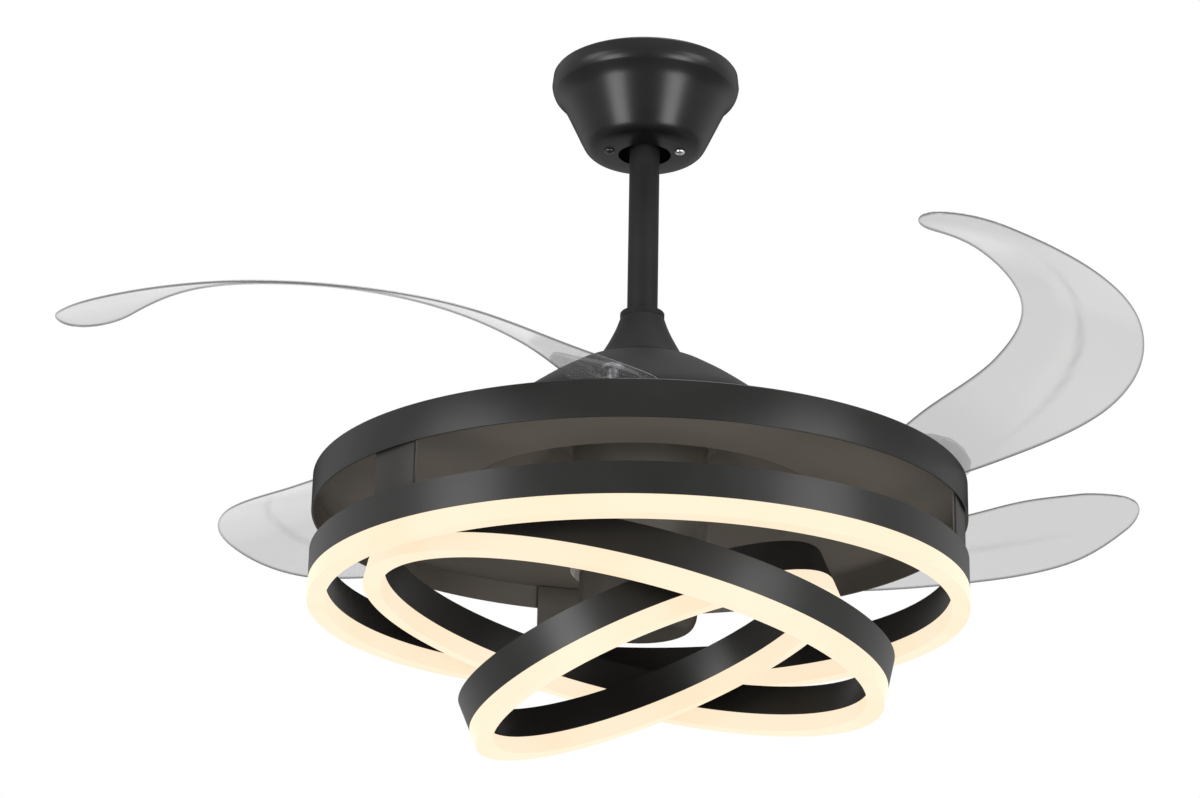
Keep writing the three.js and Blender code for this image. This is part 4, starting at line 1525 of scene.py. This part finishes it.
@dataclass
class LitHoops(Assembly):
    """The three hoops: a metal channel, a lamp strip in it and a glowing lens below."""

    wide: float = 13.4
    metal: float = 23.3
    lens: float = 14.1
    skin: float = 1.6
    hoops: tuple[Hoop, ...] = (
        Hoop("a", 250.0, 0.0, -60.5, 0.0),
        Hoop("b", 201.6, -11.9, -126.0, 12.6),
        Hoop("c", 148.0, 17.3, -146.6, -22.75),
    )
    pitch: float = 9.0

    def channel_outline(self) -> list[Point]:
        """Draws the channel's wall, X outwards from the hoop's outer face."""
        w, h, s = self.wide, self.metal, self.skin
        return eased(
            [(0.0, -h), (0.0, 0.0), (-w, 0.0), (-w, -h), (-w + s, -h), (-w + s, -s), (-s, -s), (-s, -h)],
            0.6, 3,
        )

    def lens_outline(self) -> list[Point]:
        """Draws the lens's wall."""
        w, top = self.wide, -self.metal - 0.3
        low = -self.metal - self.lens
        return eased(
            [(0.0, top), (0.0, low), (-w, low), (-w, top), (-w + 1.5, top), (-w + 1.5, low + 1.6),
             (-1.5, low + 1.6), (-1.5, top)], 1.5, 4,
        )

    def ring(self, name: str, outline: Sequence[Point], hoop: Hoop, tree: Recipe) -> bpy.types.Object:
        """Carries an outline round one hoop.

        Args:
            name: The piece's name.
            outline: The wall's outline.
            hoop: The hoop.
            tree: The tree that sweeps it.

        Returns:
            The piece.
        """
        points = [(x, -y, 0.0) for x, y in outline]
        edges = [(k, (k + 1) % len(points)) for k in range(len(points))]
        sizes = {"Radius": hoop.radius * MM, "Facets": int(hoop.radius * 0.8)}
        return tree.make(name, (points, edges), sizes, hoop.matrix(self.metal, self.lens), 30.0)

    def build(self) -> None:
        """Builds the hoops."""
        metal = swept_ring(self.paints["charcoal_satin"])
        glow = swept_ring(self.paints["lens_glow"])
        strip = lamp_strip(self.paints["strip_board"], self.paints["lamp_dot"])
        for hoop in self.hoops:
            tag = hoop.letter
            shell = self.ring(f"hoop_{tag}_shell", self.channel_outline(), hoop, metal)
            self.settle(shell, "frame", Slot.CHARCOAL, None, f"hoop_{tag}_channel")
            cover = self.ring(f"hoop_{tag}_cover", self.lens_outline(), hoop, glow)
            self.settle(cover, "frame", Slot.LENS, None, f"hoop_{tag}_lens")
            inner, outer = hoop.radius - self.wide + self.skin + 2.6, hoop.radius - self.skin - 1.2
            middle = (inner + outer) / 2.0
            sizes = {
                "Radius": middle * MM, "Width": (outer - inner) * MM, "Thick": 1.2 * MM,
                "Lamps": int(2.0 * math.pi * middle / self.pitch),
            }
            place = hoop.matrix(self.metal, self.lens) @ Matrix.Translation((0.0, 0.0, -self.skin - 0.9))
            band = strip.make(f"hoop_{tag}_lamps", ([(0.0, 0.0, 0.0)], []), sizes, place, 30.0)
            self.settle(band, "frame", Slot.STRIP, None, f"hoop_{tag}_strip")
        links = [f"hoop_link_{pair}_{k}" for pair in ("ab", "bc") for k in (1, 2)]
        self.dress("charcoal_satin", *links)


# ---------------------------------------------------------------- studio


@dataclass(frozen=True)
class SoftLamp:
    """One soft lamp: its place in metres, its width and height, and its power in watts."""

    name: str
    place: tuple[float, float, float]
    size: Point
    power: float


@dataclass
class Studio:
    """The camera at the photograph's angle, five soft lamps and a pale room with a round floor."""

    width: int = 1200
    focal: float = 3093.86
    place: tuple[float, float, float] = (0.0, -2.2575, -1.08823)
    pitch: float = 19.781
    yaw: float = -0.808
    roll: float = 1.1037
    floor: float = -3.4
    fill: float = 0.42
    spread: float = 10.0
    sides: int = 120
    aim: tuple[float, float, float] = (0.0, 0.0, -0.35)
    lamps: tuple[SoftLamp, ...] = (
        SoftLamp("low_left", (-2.05, -2.2, -1.22), (1.25, 1.6), 80.0),
        SoftLamp("high_left", (-2.62, -1.55, 0.32), (1.35, 0.9), 27.0),
        SoftLamp("low_right", (2.05, -2.2, -1.22), (1.25, 1.6), 80.0),
        SoftLamp("high_right", (2.62, -1.55, 0.32), (1.35, 0.9), 27.0),
        SoftLamp("top", (0.3, -0.6, 3.0), (3.0, 3.0), 130.0),
    )

    def camera(self) -> None:
        """Sets up the camera."""
        data = bpy.data.cameras.new("camera")
        data.sensor_width = 36.0
        data.lens = self.focal * data.sensor_width / self.width
        data.clip_end = 50.0
        yaw, pitch, roll = (math.radians(a) for a in (self.yaw, self.pitch, self.roll))
        right = Vector((math.cos(yaw), -math.sin(yaw), 0.0))
        ahead = Vector((math.sin(yaw), math.cos(yaw), 0.0))
        rise = Vector((0.0, 0.0, 1.0))
        look = ahead * math.cos(pitch) + rise * math.sin(pitch)
        above = rise * math.cos(pitch) - ahead * math.sin(pitch)
        x = right * math.cos(roll) + above * math.sin(roll)
        y = above * math.cos(roll) - right * math.sin(roll)
        turn = Matrix((x, y, -look)).transposed().to_4x4()
        made = bpy.data.objects.new("camera", data)
        made.matrix_world = Matrix.Translation(self.place) @ turn
        bpy.context.scene.collection.objects.link(made)
        bpy.context.scene.camera = made

    def lamp(self, lamp: SoftLamp) -> None:
        """Hangs one soft lamp."""
        data = bpy.data.lights.new(lamp.name, "AREA")
        data.shape = "RECTANGLE"
        data.size, data.size_y = lamp.size
        data.energy = lamp.power
        data.color = WHITE
        made = bpy.data.objects.new(lamp.name, data)
        made.location = lamp.place
        made.rotation_mode = "QUATERNION"
        made.rotation_quaternion = (Vector(lamp.place) - Vector(self.aim)).to_track_quat("Z", "Y")
        bpy.context.scene.collection.objects.link(made)

    def room(self) -> None:
        """Lays the pale floor and the plain white surroundings."""
        world = bpy.data.worlds.new("room")
        world.use_nodes = True
        bpy.context.scene.world = world
        nodes, links = world.node_tree.nodes, world.node_tree.links
        nodes.clear()
        path = nodes.new("ShaderNodeLightPath")
        level = nodes.new("ShaderNodeMapRange")
        level.inputs["To Min"].default_value = 1.0
        level.inputs["To Max"].default_value = self.fill
        links.new(path.outputs["Is Diffuse Ray"], level.inputs["Value"])
        glow = nodes.new("ShaderNodeBackground")
        glow.inputs["Color"].default_value = (*WHITE, 1.0)
        links.new(level.outputs[0], glow.inputs["Strength"])
        out = nodes.new("ShaderNodeOutputWorld")
        links.new(glow.outputs[0], out.inputs["Surface"])
        mesh = bpy.data.meshes.new("floor")
        step = 360.0 / self.sides
        edge = [(*polar(self.spread, step * k), self.floor) for k in range(self.sides)]
        mesh.from_pydata(edge, [], [tuple(range(self.sides))])
        floor = bpy.data.objects.new("floor", mesh)
        bpy.context.scene.collection.objects.link(floor)
        board = Board("pale_floor")
        grain = board.noise(board.place(), 3.0, 4.0)
        tone = board.blend((0.90, 0.90, 0.90), (0.85, 0.85, 0.85), grain)
        mesh.materials.append(board.surface({"Base Color": tone, "Roughness": 0.7}))

    def build(self) -> None:
        """Sets up the studio."""
        self.camera()
        for lamp in self.lamps:
            self.lamp(lamp)
        self.room()
        view = bpy.context.scene.view_settings
        view.view_transform = "Standard"


def main() -> None:
    """Builds the fan's looks and the studio."""
    logging.basicConfig(level=logging.INFO, format="%(message)s")
    paints = Paints()
    Studio().build()
    for part in (Hanger, Coupling, Motor, BladeDeck, Blades, LampBody, LitHoops):
        part(paints).build()
        LOG.info("%s done", part.__name__)


if __name__ == "__main__":
    main()
